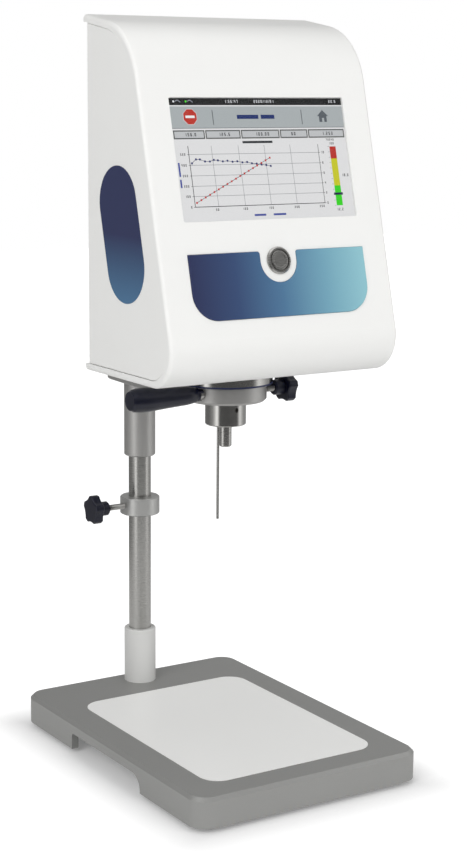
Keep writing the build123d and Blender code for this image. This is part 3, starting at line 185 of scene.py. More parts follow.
class Finish:
    """Node tree of one material, built up from its shader."""

    def __init__(self, name, base, metallic=0.0, roughness=0.4):
        self.material = bpy.data.materials.new(name)
        self.material.use_nodes = True
        self.tree = self.material.node_tree
        self.shader = self.tree.nodes["Principled BSDF"]
        self.base = tuple(base)
        self.shader.inputs["Metallic"].default_value = metallic
        self.shader.inputs["Roughness"].default_value = roughness
        self.shader.inputs["Base Color"].default_value = (*base, 1)
        self.place = self.add("ShaderNodeTexCoord").outputs["Object"]

    def add(self, kind, inputs=None, **settings):
        """One node of this material."""
        return add_node(self.tree, kind, inputs, **settings)

    def maths(self, operation, *values):
        """Sum on one or two numbers."""
        return self.add("ShaderNodeMath", dict(enumerate(values)), operation=operation).outputs[0]

    def vector(self, operation, *values):
        """Sum on one or two vectors."""
        node = self.add("ShaderNodeVectorMath", dict(enumerate(values)), operation=operation)
        return node.outputs[0]

    def times(self, tint, factor):
        """Colour made brighter or darker by a factor."""
        return self.add("ShaderNodeVectorMath", {0: tint, 3: factor}, operation="SCALE").outputs[0]

    def part(self, axis):
        """One of the object coordinates."""
        return self.add("ShaderNodeSeparateXYZ", {0: self.place}).outputs[axis]

    def scaled(self, scale, centre=(0, 0, 0)):
        """Object coordinates, moved to a centre and scaled along each axis."""
        return self.vector("MULTIPLY", self.vector("SUBTRACT", self.place, centre), scale)

    def noise(self, size, detail=2.0, stretch=(1, 1, 1), roughness=0.5):
        """Noise whose features have about this size, in metres."""
        vector = self.scaled([axis / size for axis in stretch])
        inputs = {"Vector": vector, "Scale": 1.0, "Detail": detail, "Roughness": roughness}
        return self.add("ShaderNodeTexNoise", inputs).outputs[0]

    def cells(self, size, **settings):
        """Cell pattern with cells of about this size, in metres."""
        inputs = {"Vector": self.scaled([1 / size] * 3), "Scale": 1.0}
        return self.add("ShaderNodeTexVoronoi", inputs, **settings).outputs["Distance"]

    def span(self, value, low, high, start=0.0, end=1.0):
        """Value mapped from one range to another."""
        sockets = {"Value": value, "From Min": start, "From Max": end, "To Min": low, "To Max": high}
        return self.add("ShaderNodeMapRange", sockets).outputs[0]

    def mix(self, first, second, share):
        """Two patterns mixed, the second with this share."""
        return self.add("ShaderNodeMix", {0: share, 2: first, 3: second}).outputs[0]

    def ramp(self, value, stops):
        """Colour that runs through stops, each with its place from 0 to 1."""
        node = self.add("ShaderNodeValToRGB", {0: value})
        elements = node.color_ramp.elements
        elements.remove(elements[1])
        for index, (place, tint) in enumerate(stops):
            element = elements.new(place) if index else elements[0]
            element.position = place
            element.color = (*tint, 1)
        return node.outputs[0]

    def feed(self, socket, value):
        """Links a pattern to a socket of the shader."""
        self.tree.links.new(value, self.shader.inputs[socket])

    def show(self, surface):
        """Shows another surface in place of the shader's own."""
        self.tree.links.new(surface, self.tree.nodes["Material Output"].inputs[0])

    def shade(self, value, amount, base=None):
        """Base colour made a little darker and lighter by a pattern."""
        factor = self.span(value, 1 - amount, 1 + amount)
        self.feed("Base Color", self.times(base or self.base, factor))

    def rough(self, value, low, high):
        """Roughness that follows a pattern."""
        self.feed("Roughness", self.span(value, low, high))

    def bump(self, height, depth, strength):
        """Fine relief, its depth given in metres."""
        inputs = {"Height": height, "Distance": depth, "Strength": strength}
        self.feed("Normal", self.add("ShaderNodeBump", inputs).outputs[0])

    def set(self, **values):
        """Fixed values on the shader, with spaces in socket names written as underscores."""
        for key, value in values.items():
            self.shader.inputs[key.replace("_", " ")].default_value = value


def moulded(name, base, grain, roughness=0.36, depth=0.02 * MM):
    """Moulded plastic: fine grain, slow change of tone and gloss."""
    finish = Finish(name, base, roughness=roughness)
    fine = finish.noise(grain, detail=3.0)
    slow = finish.noise(60 * MM)
    finish.shade(finish.mix(slow, fine, share=0.3), amount=0.018)
    finish.rough(slow, low=roughness - 0.03, high=roughness + 0.04)
    finish.bump(fine, depth, strength=0.35)
    return finish


def turned(name, base, mark, roughness=0.28, depth=0.012 * MM):
    """Steel turned about the vertical: fine rings, slow change of gloss."""
    finish = Finish(name, base, metallic=1.0, roughness=roughness)
    rings = finish.noise(mark, detail=3.0, stretch=(0.012, 0.012, 1.0))
    slow = finish.noise(30 * MM, stretch=(1, 1, 0.4))
    finish.shade(finish.mix(rings, slow, share=0.35), amount=0.07)
    finish.rough(rings, low=roughness - 0.05, high=roughness + 0.08)
    finish.bump(rings, depth, strength=0.3)
    return finish


def cast_metal(name, base, grain, roughness=0.42):
    """Bead-blasted light metal."""
    finish = Finish(name, base, metallic=0.75, roughness=roughness)
    fine = finish.noise(grain, detail=4.0, roughness=0.65)
    slow = finish.noise(50 * MM)
    finish.shade(finish.mix(fine, slow, share=0.5), amount=0.05)
    finish.rough(fine, low=roughness - 0.05, high=roughness + 0.06)
    finish.bump(fine, depth=0.04 * MM, strength=0.4)
    return finish


def textured_paint(name, base, grain):
    """Fine-textured metallic paint of the base casting."""
    finish = Finish(name, base, metallic=0.35, roughness=0.42)
    fine = finish.noise(grain, detail=4.0, roughness=0.6)
    flake = finish.cells(0.6 * grain)
    slow = finish.noise(80 * MM)
    texture = finish.mix(fine, flake, share=0.4)
    finish.shade(finish.mix(texture, slow, share=0.3), amount=0.075)
    finish.rough(fine, low=0.36, high=0.5)
    finish.bump(fine, depth=0.06 * MM, strength=0.45)
    return finish


def blue_plate(name, tints, axis, low, high):
    """Plate whose colour runs evenly through its tints along one axis: print on the front plate, painted
    shade on the cheek's capsule.
    """
    finish = Finish(name, tints[0], roughness=0.2)
    last = len(tints) - 1
    stops = [(index / last, tint) for index, tint in enumerate(tints)]
    print_and_shade_colour = finish.ramp(finish.span(finish.part(axis), 0.0, 1.0, low, high), stops)
    fine = finish.noise(0.7 * MM)
    finish.shade(fine, amount=0.025, base=print_and_shade_colour)
    finish.bump(fine, depth=0.01 * MM, strength=0.2)
    finish.set(Specular_IOR_Level=0.25)
    return finish


def clear_glass(name):
    """Thin clear cover glass."""
    finish = Finish(name, (0.9, 0.93, 0.95), roughness=0.06)
    smear = finish.noise(30 * MM, detail=3.0)
    finish.rough(smear, low=0.04, high=0.09)
    finish.set(Alpha=0.03, IOR=1.5)
    return finish


def display_picture(name, pixel):
    """Lit display: colours painted on the faces, with faint lines between columns of pixels."""
    finish = Finish(name, (0.7, 0.7, 0.7), roughness=0.35)
    paint = finish.add("ShaderNodeAttribute", attribute_name="paint").outputs["Color"]
    across = finish.maths("FRACT", finish.maths("MULTIPLY", finish.part("X"), 1 / pixel))
    lit_part = finish.maths("LESS_THAN", across, 0.85)
    lit = finish.times(paint, finish.span(lit_part, 0.93, 1.0))
    finish.feed("Emission Color", lit)
    finish.feed("Base Color", finish.times(lit, 0.16))
    finish.set(Emission_Strength=0.82, Specular_IOR_Level=0.0)
    return finish


def circuit_board(name, base):
    """Green board with tracks as a cell pattern."""
    finish = Finish(name, base, roughness=0.35)
    tracks = finish.cells(4 * MM, feature="DISTANCE_TO_EDGE", distance="CHEBYCHEV")
    finish.shade(finish.span(tracks, 0.0, 1.0, 0.0, 0.2), amount=0.25)
    finish.bump(tracks, depth=0.03 * MM, strength=0.4)
    return finish


def dress(finish, *names):
    """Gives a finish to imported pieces."""
    for name in names:
        slots = NODES[name].data.materials
        slots.clear()
        slots.append(finish.material)


def linked(name, data):
    """New object in the scene."""
    item = bpy.data.objects.new(name, data)
    bpy.context.scene.collection.objects.link(item)
    return item


def add_piece(name, mesh, body, slot, *stands_for):
    """New piece on a body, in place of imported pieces."""
    piece = linked(name, mesh)
    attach(piece, body)
    if stands_for:
        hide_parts(*stands_for)


# Screw threads by geometry nodes

def thread_tree():
    """Geometry nodes for a stud: a core with a helical ridge from end to end."""
    tree = bpy.data.node_groups.new("stud_thread", "GeometryNodeTree")
    tree.interface.new_socket("Geometry", in_out="OUTPUT", socket_type="NodeSocketGeometry")
    for label, kind in (
        ("Radius", "NodeSocketFloat"), ("Pitch", "NodeSocketFloat"), ("Length", "NodeSocketFloat"),
        ("Steps", "NodeSocketInt"), ("Material", "NodeSocketMaterial"),
    ):
        tree.interface.new_socket(label, in_out="INPUT", socket_type=kind)

    def maths(operation, first, second):
        return add_node(tree, "ShaderNodeMath", {0: first, 1: second}, operation=operation).outputs[0]

    def raised(shape, height):
        offset = add_node(tree, "ShaderNodeCombineXYZ", {2: height}).outputs[0]
        move = add_node(tree, "GeometryNodeTransform", {0: shape, "Translation": offset})
        return move.outputs[0]

    given = add_node(tree, "NodeGroupInput").outputs
    ridge = maths("MULTIPLY", given["Pitch"], 0.5)
    core = maths("SUBTRACT", given["Radius"], ridge)
    run = maths("SUBTRACT", given["Length"], given["Pitch"])
    spiral = add_node(tree, "GeometryNodeCurveSpiral", {
        "Resolution": given["Steps"],
        "Rotations": maths("DIVIDE", run, given["Pitch"]),
        "Start Radius": core,
        "End Radius": core,
        "Height": run,
    })
    upright = add_node(tree, "GeometryNodeSetCurveNormal", {0: spiral.outputs[0]}, mode="Z_UP")
    diamond = add_node(tree, "GeometryNodeCurvePrimitiveCircle", {"Resolution": 4, "Radius": ridge})
    sweep = add_node(tree, "GeometryNodeCurveToMesh", {
        "Curve": upright.outputs[0],
        "Profile Curve": diamond.outputs[0],
        "Fill Caps": True,
    })
    bar = add_node(tree, "GeometryNodeMeshCylinder", {
        "Vertices": given["Steps"],
        "Radius": core,
        "Depth": given["Length"],
    })
    both = add_node(tree, "GeometryNodeJoinGeometry")
    tree.links.new(raised(sweep.outputs[0], ridge), both.inputs[0])
    tree.links.new(raised(bar.outputs[0], maths("MULTIPLY", given["Length"], 0.5)), both.inputs[0])
    painted = add_node(
        tree, "GeometryNodeSetMaterial", {0: both.outputs[0], "Material": given["Material"]}
    )
    add_node(tree, "NodeGroupOutput", {0: painted.outputs[0]})
    return tree


def baked(tree, values):
    """Plain mesh of a tree with these inputs."""
    carrier = linked("carrier", bpy.data.meshes.new("carrier"))
    modifier = carrier.modifiers.new("shape", "NODES")
    modifier.node_group = tree
    for item in tree.interface.items_tree:
        if item.in_out == "INPUT":
            modifier[item.identifier] = values[item.name]
    evaluated = carrier.evaluated_get(bpy.context.evaluated_depsgraph_get())
    mesh = bpy.data.meshes.new_from_object(evaluated)
    bpy.data.objects.remove(carrier)
    return mesh


def threaded_stud(tree, node, side, pitch, steps, finish):
    """Threaded bar in the place of a packed stud that lies along X."""
    low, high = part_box(node)
    mesh = baked(tree, {
        "Radius": (high.z - low.z) / 2,
        "Pitch": pitch,
        "Length": high.x - low.x,
        "Steps": steps,
        "Material": finish.material,
    })
    start = low.x if side > 0 else high.x
    turn = Matrix.Rotation(math.radians(90 * side), 4, "Y")
    place = Matrix.Translation((start, (low.y + high.y) / 2, (low.z + high.z) / 2))
    mesh.transform(place @ turn)
    for polygon in mesh.polygons:
        polygon.use_smooth = False
    return mesh


# Display picture, in millimetres from its lower left corner

PICTURE_WIDTH, PICTURE_HEIGHT = 150, 89.1

# Layers, from the back to the front
PAGE, PANEL, STROKE, SIGN, TOP = range(5)

# Digits: their strokes, and their width, pen and spacing as shares of height and pen
SEGMENTS = {
    "0": "abcdef", "1": "bc", "2": "abged", "3": "abgcd", "4": "fgbc",
    "5": "afgcd", "6": "afgedc", "7": "abc", "8": "abcdefg", "9": "abcdfg",
}
DIGIT_WIDTH, DIGIT_PEN = 0.54, 0.19
DIGIT_GAP, SIGN_STEP = 2.2, 2.6

# Paints, as display values from 0 to 255
INK = (22, 24, 28)
PALE = (221, 221, 222)
UPRIGHT_GRID, LEVEL_GRID = (120, 122, 126), (128, 130, 134)
NAVY_LINE, NAVY_DOT = (60, 66, 90), (8, 22, 96)
RED_LINE, RED_DOT = (70, 72, 78), (190, 34, 24)
CHART_TITLE, AXIS_TITLE = (40, 42, 46), (64, 76, 150)
GAUGE_GREEN, GAUGE_YELLOW, GAUGE_RED = (44, 206, 8), (196, 196, 16), (180, 34, 20)
GAUGE_MARK = (6, 20, 60)
STATUS_BAR, STATUS_TEXT, STATUS_LINE = (0, 0, 0), (208, 210, 214), (150, 154, 166)
STATUS_WHITE, STATUS_GREEN = (226, 228, 230), (72, 216, 30)
TOOL_BAR, TOOL_EDGE, TOOL_DIVIDER = (166, 172, 174), (120, 124, 126), (96, 100, 104)
TOOL_TITLE, TOOL_ICON = (10, 36, 100), (84, 90, 96)
STOP_RIM, STOP_RED, STOP_BAR = (222, 224, 224), (184, 40, 24), (236, 236, 236)
BOX_EDGE, BOX_FACE, BOX_TEXT = (84, 86, 84), (188, 190, 192), (30, 32, 36)

# Chart
AXIS_LEFT, AXIS_RIGHT, AXIS_LOW, AXIS_HIGH = 11.3, 123.6, 10.3, 54.5
AXIS_PEN, FAR_AXIS_PEN = 0.5, 0.4
GRID_X = (31.0, 53.8, 76.2, 98.9)
GRID_Y = (18.2, 25.5, 33.0, 40.6, 48.4)
HALF_GRID_PEN = 0.15
TICK = 1.0
SMALL_TEXT = 1.7
LEVEL_CURVE = (
    (13.2, 42.0), (16.9, 44.8), (20.2, 44.7), (24.2, 43.2), (28.3, 43.1), (31.8, 44.2),
    (35.1, 43.8), (39.2, 43.0), (43.2, 43.4), (47.4, 42.6), (51.5, 42.9), (55.7, 42.0),
    (59.8, 42.2), (63.8, 41.2), (67.9, 40.9), (72.0, 40.1), (76.0, 39.7), (79.9, 39.0),
)
RISING_CURVE = [(13.2 + 3.92 * k, 13.6 + 1.85 * k) for k in range(18)]

# Gauge: the heights at which its colours meet, and its ticks
GAUGE_LEFT, GAUGE_RIGHT = 134.2, 139.8
GAUGE_LOW, GAUGE_TOP = 8.3, 52.7
GREEN_TOP, YELLOW_TOP = 23.3, 43.6
GAUGE_STEPS = 11
HALF_TICK_PEN = 0.12

# Status bar, tool bar and value boxes
STATUS_LOW, STATUS_TEXT_LOW, STATUS_MIDDLE = 83.9, 85.6, 86.6
STATUS_TEXT_HEIGHT = 2.1
TOOL_LOW, TOOL_HIGH = 67.5, 83.0
STOP_PLACE = (16.5, 75.5)
BOX_LOW, BOX_HIGH, BOX_RIM = 59.4, 65.8, 0.9
BOX_TEXT_HEIGHT = 2.4
VALUES = (
    (0.9, 26.9, "156.0"), (27.6, 57.1, "125.5"), (57.8, 90.9, "100.00"), (91.6, 115.9, "60"),
    (116.6, 149.1, "1.253"),
)


class Picture:
    """Flat shapes with their paints and layers."""

    def __init__(self):
        self.shapes = []

    def shape(self, points, paint, layer):
        self.shapes.append((points, paint, layer))

    def box(self, left, low, right, high, paint, layer):
        self.shape([(left, low), (right, low), (right, high), (left, high)], paint, layer)

    def line(self, points, width, paint, layer=STROKE):
        """Polyline of straight strokes."""
        for (x0, y0), (x1, y1) in zip(points, points[1:]):
            run = math.hypot(x1 - x0, y1 - y0)
            nx, ny = -(y1 - y0) / run * width / 2, (x1 - x0) / run * width / 2
            corners = [(x0 - nx, y0 - ny), (x1 - nx, y1 - ny), (x1 + nx, y1 + ny), (x0 + nx, y0 + ny)]
            self.shape(corners, paint, layer)

    def disc(self, x, y, radius, paint, sides=12, turn=0.0, layer=SIGN):
        """Regular polygon, such as a dot or an octagon."""
        angles = [turn + 2 * math.pi * k / sides for k in range(sides)]
        points = [(x + radius * math.cos(a), y + radius * math.sin(a)) for a in angles]
        self.shape(points, paint, layer)

    def number(self, text, x, y, height, paint=INK, layer=SIGN):
        """Digits made of seven strokes, with points, colons and slashes between them."""
        wide, pen = height * DIGIT_WIDTH, height * DIGIT_PEN
        for sign in text:
            if sign in SEGMENTS:
                self.digit(SEGMENTS[sign], x, y, wide, height, pen, paint, layer)
                x += wide + DIGIT_GAP * pen
            else:
                self.sign(sign, x, y, height, pen, paint, layer)
                x += SIGN_STEP * pen

    def digit(self, strokes, x, y, wide, high, pen, paint, layer):
        middle = y + high / 2
        places = {
            "a": (x, y + high - pen, x + wide, y + high),
            "b": (x + wide - pen, middle, x + wide, y + high),
            "c": (x + wide - pen, y, x + wide, middle),
            "d": (x, y, x + wide, y + pen),
            "e": (x, y, x + pen, middle),
            "f": (x, middle, x + pen, y + high),
            "g": (x, middle - pen / 2, x + wide, middle + pen / 2),
        }
        for stroke in strokes:
            self.box(*places[stroke], paint, layer)

    def sign(self, sign, x, y, high, pen, paint, layer):
        if sign in ".:":
            self.box(x, y, x + pen, y + pen, paint, layer)
        if sign == ":":
            self.box(x, y + 0.6 * high, x + pen, y + 0.6 * high + pen, paint, layer)
        if sign == "/":
            self.line([(x, y), (x + 1.6 * pen, y + high)], pen, paint, layer)

    def mesh(self, name, place):
        """Mesh of all shapes, each layer a little nearer to the eye."""
        shape = bmesh.new()
        paint_layer = shape.loops.layers.float_color.new("paint")
        for points, paint, layer in self.shapes:
            face = shape.faces.new([shape.verts.new(place(x, y, layer)) for x, y in points])
            rgba = (*[tone(channel) for channel in paint], 1)
            for loop in face.loops:
                loop[paint_layer] = rgba
        mesh = bpy.data.meshes.new(name)
        shape.to_mesh(mesh)
        shape.free()
        return mesh


def tool_strip(picture):
    """Status bar, tool bar and the row of value boxes."""
    picture.box(0, STATUS_LOW, PICTURE_WIDTH, PICTURE_HEIGHT, STATUS_BAR, PANEL)
    for text, x in (("1:56:47", 47.0), ("2020/12/31", 72.0), ("22.5", 138.5)):
        picture.number(text, x, STATUS_TEXT_LOW, STATUS_TEXT_HEIGHT, STATUS_TEXT)
    for x, paint in ((4.2, STATUS_WHITE), (14.4, STATUS_GREEN)):
        picture.disc(x, STATUS_MIDDLE, 0.8, paint)
    for x in (5.4, 15.6):
        picture.line([(x, STATUS_MIDDLE), (x + 2.2, 87.7), (x + 4.6, 86.0)], 0.5, STATUS_LINE)
    picture.box(0, TOOL_LOW, PICTURE_WIDTH, TOOL_HIGH, TOOL_BAR, PANEL)
    picture.box(0, TOOL_LOW - 0.5, PICTURE_WIDTH, TOOL_LOW, TOOL_EDGE, PANEL)
    picture.disc(*STOP_PLACE, 6.2, STOP_RIM, 8, math.pi / 8, STROKE)
    picture.disc(*STOP_PLACE, 5.9, STOP_RED, 8, math.pi / 8, SIGN)
    picture.box(12.7, 74.6, 20.3, 76.4, STOP_BAR, TOP)
    for x in (35.5, 112.6):
        picture.box(x - 0.35, 69.6, x + 0.35, 80.4, TOOL_DIVIDER, STROKE)
    for left, right in ((56.0, 74.5), (76.6, 88.5)):
        picture.box(left, 73.8, right, 76.8, TOOL_TITLE, STROKE)
    picture.shape([(126.6, 75.6), (136.6, 75.6), (131.6, 80.2)], TOOL_ICON, SIGN)
    picture.box(128.2, 71.2, 135.0, 75.6, TOOL_ICON, SIGN)
    picture.box(130.8, 71.2, 132.6, 74.2, TOOL_BAR, TOP)
    for left, right, value in VALUES:
        picture.box(left, BOX_LOW, right, BOX_HIGH, BOX_EDGE, STROKE)
        picture.box(left + BOX_RIM, BOX_LOW + BOX_RIM, right - BOX_RIM, BOX_HIGH - BOX_RIM, BOX_FACE, SIGN)
        start = (left + right) / 2 - 0.98 * len(value) / 2 - 1.2
        picture.number(value, start, 61.4, BOX_TEXT_HEIGHT, BOX_TEXT, TOP)


def measuring_chart(picture):
    """Axes, grid, two curves and their numbers."""
    inner_left, inner_low = AXIS_LEFT + AXIS_PEN, AXIS_LOW + AXIS_PEN
    outer_right = AXIS_RIGHT + FAR_AXIS_PEN
    picture.box(AXIS_LEFT, AXIS_LOW, inner_left, AXIS_HIGH, INK, STROKE)
    picture.box(AXIS_LEFT, AXIS_LOW, AXIS_RIGHT + FAR_AXIS_PEN / 2, inner_low, INK, STROKE)
    picture.box(AXIS_RIGHT, AXIS_LOW, outer_right, AXIS_HIGH, INK, STROKE)
    for x in GRID_X:
        picture.box(x - HALF_GRID_PEN, inner_low, x + HALF_GRID_PEN, AXIS_HIGH, UPRIGHT_GRID, PANEL)
    for y in GRID_Y:
        picture.box(inner_left, y - HALF_GRID_PEN, AXIS_RIGHT, y + HALF_GRID_PEN, LEVEL_GRID, PANEL)
    for index, y in enumerate((10.5, *GRID_Y)):
        low, high, text_low = y - HALF_GRID_PEN, y + HALF_GRID_PEN, y - 0.8
        picture.box(AXIS_LEFT - TICK, low, AXIS_LEFT, high, INK, STROKE)
        picture.number(str(100 * index), 4.4 if index else 8.0, text_low, SMALL_TEXT)
        picture.box(outer_right, low, outer_right + TICK, high, INK, STROKE)
        picture.number(str(2 * index), 126.0, text_low, SMALL_TEXT)
    for index, x in enumerate((*GRID_X, 121.4)):
        picture.number(str(50 * (index + 1)), x - 2.6, 7.4, SMALL_TEXT)
    for points, pen, paint, dot, dot_paint in (
        (LEVEL_CURVE, 0.35, NAVY_LINE, 1.0, NAVY_DOT),
        (RISING_CURVE, 0.4, RED_LINE, 0.95, RED_DOT),
    ):
        picture.line(points, pen, paint)
        for x, y in points:
            picture.disc(x, y, dot, dot_paint, 4, math.pi / 4, TOP)
    picture.box(58.0, 55.9, 84.0, 57.6, CHART_TITLE, STROKE)
    for left, right in ((60.5, 70.5), (77.0, 88.0)):
        picture.box(left, 2.6, right, 4.1, AXIS_TITLE, STROKE)
    for low, high in ((24.5, 30.5), (32.5, 42.5)):
        picture.box(1.6, low, 3.0, high, AXIS_TITLE, STROKE)


def torque_gauge(picture):
    """Upright bar in red, yellow and green with its marker."""
    for low, high, paint in (
        (GAUGE_LOW, GREEN_TOP, GAUGE_GREEN),
        (GREEN_TOP, YELLOW_TOP, GAUGE_YELLOW),
        (YELLOW_TOP, GAUGE_TOP, GAUGE_RED),
    ):
        picture.box(GAUGE_LEFT, low, GAUGE_RIGHT, high, paint, STROKE)
    for k in range(GAUGE_STEPS + 1):
        y = GAUGE_LOW + (GAUGE_TOP - GAUGE_LOW) * k / GAUGE_STEPS
        picture.box(132.6, y - HALF_TICK_PEN, 133.8, y + HALF_TICK_PEN, INK, STROKE)
    picture.box(133.0, 16.2, 141.0, 18.0, GAUGE_MARK, SIGN)
    for text, x, y, height in (
        ("100", 134.2, 54.2, 1.7), ("18.0", 142.3, 30.0, 2.0), ("12.2", 134.0, 4.4, 1.9),
        ("73340", 131.8, 57.1, 1.6),
    ):
        picture.number(text, x, y, height)


# Stage

# Brightness of the panels round the object, from -X by -Y, +X and +Y back to -X
PANELS = (
    (0.0, 0.55), (0.012, 0.8), (0.028, 0.95), (0.044, 0.8), (0.06, 0.25), (0.075, 0.06),
    (0.345, 0.06), (0.37, 0.25), (0.385, 0.6), (0.4, 0.7), (0.43, 0.5), (0.48, 0.25),
    (0.558, 0.2), (0.667, 0.2), (0.758, 0.12), (0.88, 0.12), (0.96, 0.25), (1.0, 0.55),
)
RING_SIDES = 48
RING_RADIUS = 0.62
RING_LOW, RING_HIGH = -0.05, 1.3

# Square lamps: name, setting with its power, place and width
LAMPS = (
    ("key_lamp", "key_power", (-2.0, -1.2, 1.5), 1.6),
    ("front_lamp", "front_power", (0.8, -2.2, 1.0), 1.8),
    ("top_lamp", "top_power", (0.1, 0.1, 2.3), 1.8),
)
LAMP_AIM = Vector((0, 0, 0.35))


# Operators

class Step:
    """Shared settings of the steps."""

    bl_options = {"REGISTER", "UNDO"}

    def execute(self, context):
        scene = context.scene
        self.make(scene.viscometer_colours, scene.viscometer_sizes)
        return {"FINISHED"}


class VISCOMETER_OT_housing(Step, bpy.types.Operator):
    """Finishes the head shell and its cheeks"""

    bl_idname = "viscometer.housing"
    bl_label = "Head housing"

    def make(self, colours, sizes):
        plastic = moulded("housing_plastic", colours.housing, sizes.grain, roughness=0.33)
        dress(plastic, "head_shell", "left_cheek", "right_cheek")


class VISCOMETER_OT_blue_plates(Step, bpy.types.Operator):
    """Finishes the front plate and the capsule on the left cheek"""

    bl_idname = "viscometer.blue_plates"
    bl_label = "Blue plates"

    def make(self, colours, sizes):
        across = [
            colours.plate_dark, colours.plate_navy, colours.plate_middle, colours.plate_teal,
            colours.plate_light,
        ]
        low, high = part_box("front_plate")
        dress(blue_plate("front_plate_print", across, "X", low.x, high.x), "front_plate")
        low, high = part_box("left_cheek_inlay")
        # The capsule's tints are painted shade: lighter blue at the bottom and dark navy over its upper
        # part, so that it looks rounded.
        upright = [colours.plate_middle, colours.plate_dark, colours.plate_dark]
        dress(blue_plate("cheek_inlay_print", upright, "Z", low.z, high.z), "left_cheek_inlay")


class VISCOMETER_OT_display(Step, bpy.types.Operator):
    """Draws the display's picture and finishes the glass over it"""

    bl_idname = "viscometer.display"
    bl_label = "Display"

    def make(self, colours, sizes):
        picture = Picture()
        picture.box(0, 0, PICTURE_WIDTH, PICTURE_HEIGHT, PALE, PAGE)
        tool_strip(picture)
        measuring_chart(picture)
        torque_gauge(picture)
        out = Vector((0, -math.cos(FACE_LEAN), math.sin(FACE_LEAN)))
        up = Vector((0, math.sin(FACE_LEAN), math.cos(FACE_LEAN)))
        edge = GLASS_THICKNESS * math.sin(FACE_LEAN)
        width = GLASS_HIGH.x - GLASS_LOW.x
        tall = (GLASS_HIGH.z - GLASS_LOW.z - edge) / math.cos(FACE_LEAN)
        foot = Vector((GLASS_LOW.x, GLASS_LOW.y, GLASS_LOW.z + edge))
        across = (width - 2 * PICTURE_MARGIN) / PICTURE_WIDTH
        along = (tall - 2 * PICTURE_MARGIN) / PICTURE_HEIGHT

        def place(x, y, layer):
            sideways = Vector((PICTURE_MARGIN + x * across, 0, 0))
            upwards = up * (PICTURE_MARGIN + y * along)
            return foot + sideways + upwards - out * (sizes.picture_depth - layer * LAYER_STEP)

        mesh = picture.mesh("display_picture", place)
        mesh.materials.append(display_picture("display_picture", sizes.pixel).material)
        add_piece("display_picture", mesh, "head", "screen")
        dress(clear_glass("cover_glass"), "display_glass")
        dress(moulded("display_panel_back", colours.black, sizes.grain), "display_panel")


class VISCOMETER_OT_metalwork(Step, bpy.types.Operator):
    """Finishes the column, flange, spindle, probe and button"""

    bl_idname = "viscometer.metalwork"
    bl_label = "Metalwork"

    def make(self, colours, sizes):
        dress(
            turned("column_steel", colours.steel, sizes.brush_mark, 0.27, depth=0.003 * MM),
            "column",
        )
        dress(turned("flange_steel", colours.steel, sizes.brush_mark, 0.17), "head_flange")
        dress(
            turned("small_steel", colours.steel, sizes.brush_mark / 2, 0.26),
            "spindle_coupling", "probe", "probe_gland", "spindle_shaft", "motor_shaft", "bearings",
            "handle_stud", "button_bezel", "button_cap", "button_nut", "column_bolt",
            "foot_screws", "flange_screws", "coupling_screw", "panel_screws", "torsion_wire",
            "board_pillars",
        )
        dress(
            cast_metal("arm_metal", colours.arm, sizes.paint_grain),
            "carrier_arm", "carrier_sleeve",
        )
        dress(
            cast_metal("light_metal", colours.collar, sizes.grain, 0.36),
            "stop_collar", "chassis_plate", "motor_plate", "motor_pillars", "drive_hub", "motor",
            "encoder_disc",
        )
        dress(
            turned("brass", colours.brass, sizes.brush_mark, 0.3),
            "collar_pad", "height_lock_pad", "head_lock_plug", "guide_bushes",
        )


class VISCOMETER_OT_threads(Step, bpy.types.Operator):
    """Cuts the threads of the three clamping studs"""

    bl_idname = "viscometer.threads"
    bl_label = "Stud threads"

    def make(self, colours, sizes):
        tree = thread_tree()
        finish = turned("thread_steel", colours.steel, sizes.brush_mark / 2, 0.3)
        for node, body, side, pitch in (
            ("collar_stud", "collar_knob_body", -1, sizes.stud_pitch),
            ("height_lock_stud", "height_knob_body", 1, sizes.stud_pitch),
            ("head_lock_stud", "plug_knob_body", 1, sizes.lock_pitch),
        ):
            mesh = threaded_stud(tree, node, side, pitch, sizes.thread_steps, finish)
            add_piece(node + "_thread", mesh, body, "steel", node)


class VISCOMETER_OT_grips(Step, bpy.types.Operator):
    """Finishes the star knobs, the lifting handle and the gasket"""

    bl_idname = "viscometer.grips"
    bl_label = "Knobs and handle"

    def make(self, colours, sizes):
        dress(
            moulded("grip_plastic", colours.knob, sizes.grain, 0.3, depth=0.03 * MM),
            "collar_knob", "height_lock_knob", "head_lock_knob", "lift_handle",
        )
        dress(moulded("gasket_plastic", colours.gasket, sizes.grain, 0.4), "flange_gasket")


class VISCOMETER_OT_base(Step, bpy.types.Operator):
    """Finishes the base, its inlay, feet and the sleeve round the column"""

    bl_idname = "viscometer.base"
    bl_label = "Base"

    def make(self, colours, sizes):
        dress(textured_paint("base_paint", colours.base_paint, sizes.paint_grain), "base_casting")
        dress(moulded("inlay_sheet", colours.base_inlay, 2 * sizes.grain, 0.3), "base_inlay")
        dress(moulded("sleeve_plastic", colours.sleeve, sizes.grain, 0.4), "column_socket")
        dress(
            moulded("foot_rubber", colours.rubber, sizes.grain, 0.75, depth=0.06 * MM),
            "base_feet",
        )


class VISCOMETER_OT_rear(Step, bpy.types.Operator):
    """Finishes the rear panel, the sockets and what is inside the head"""

    bl_idname = "viscometer.rear"
    bl_label = "Rear and inside"

    def make(self, colours, sizes):
        dress(cast_metal("panel_metal", colours.collar, sizes.grain, 0.38), "back_panel")
        dress(
            moulded("black_plastic", colours.black, sizes.grain, 0.45),
            "power_inlet", "power_switch_body", "power_rocker", "encoder_reader", "button_switch",
        )
        dress(
            turned("folded_steel", colours.steel, sizes.brush_mark, 0.32),
            "data_sockets", "display_frame",
        )
        dress(circuit_board("board_mask", colours.board), "main_board")


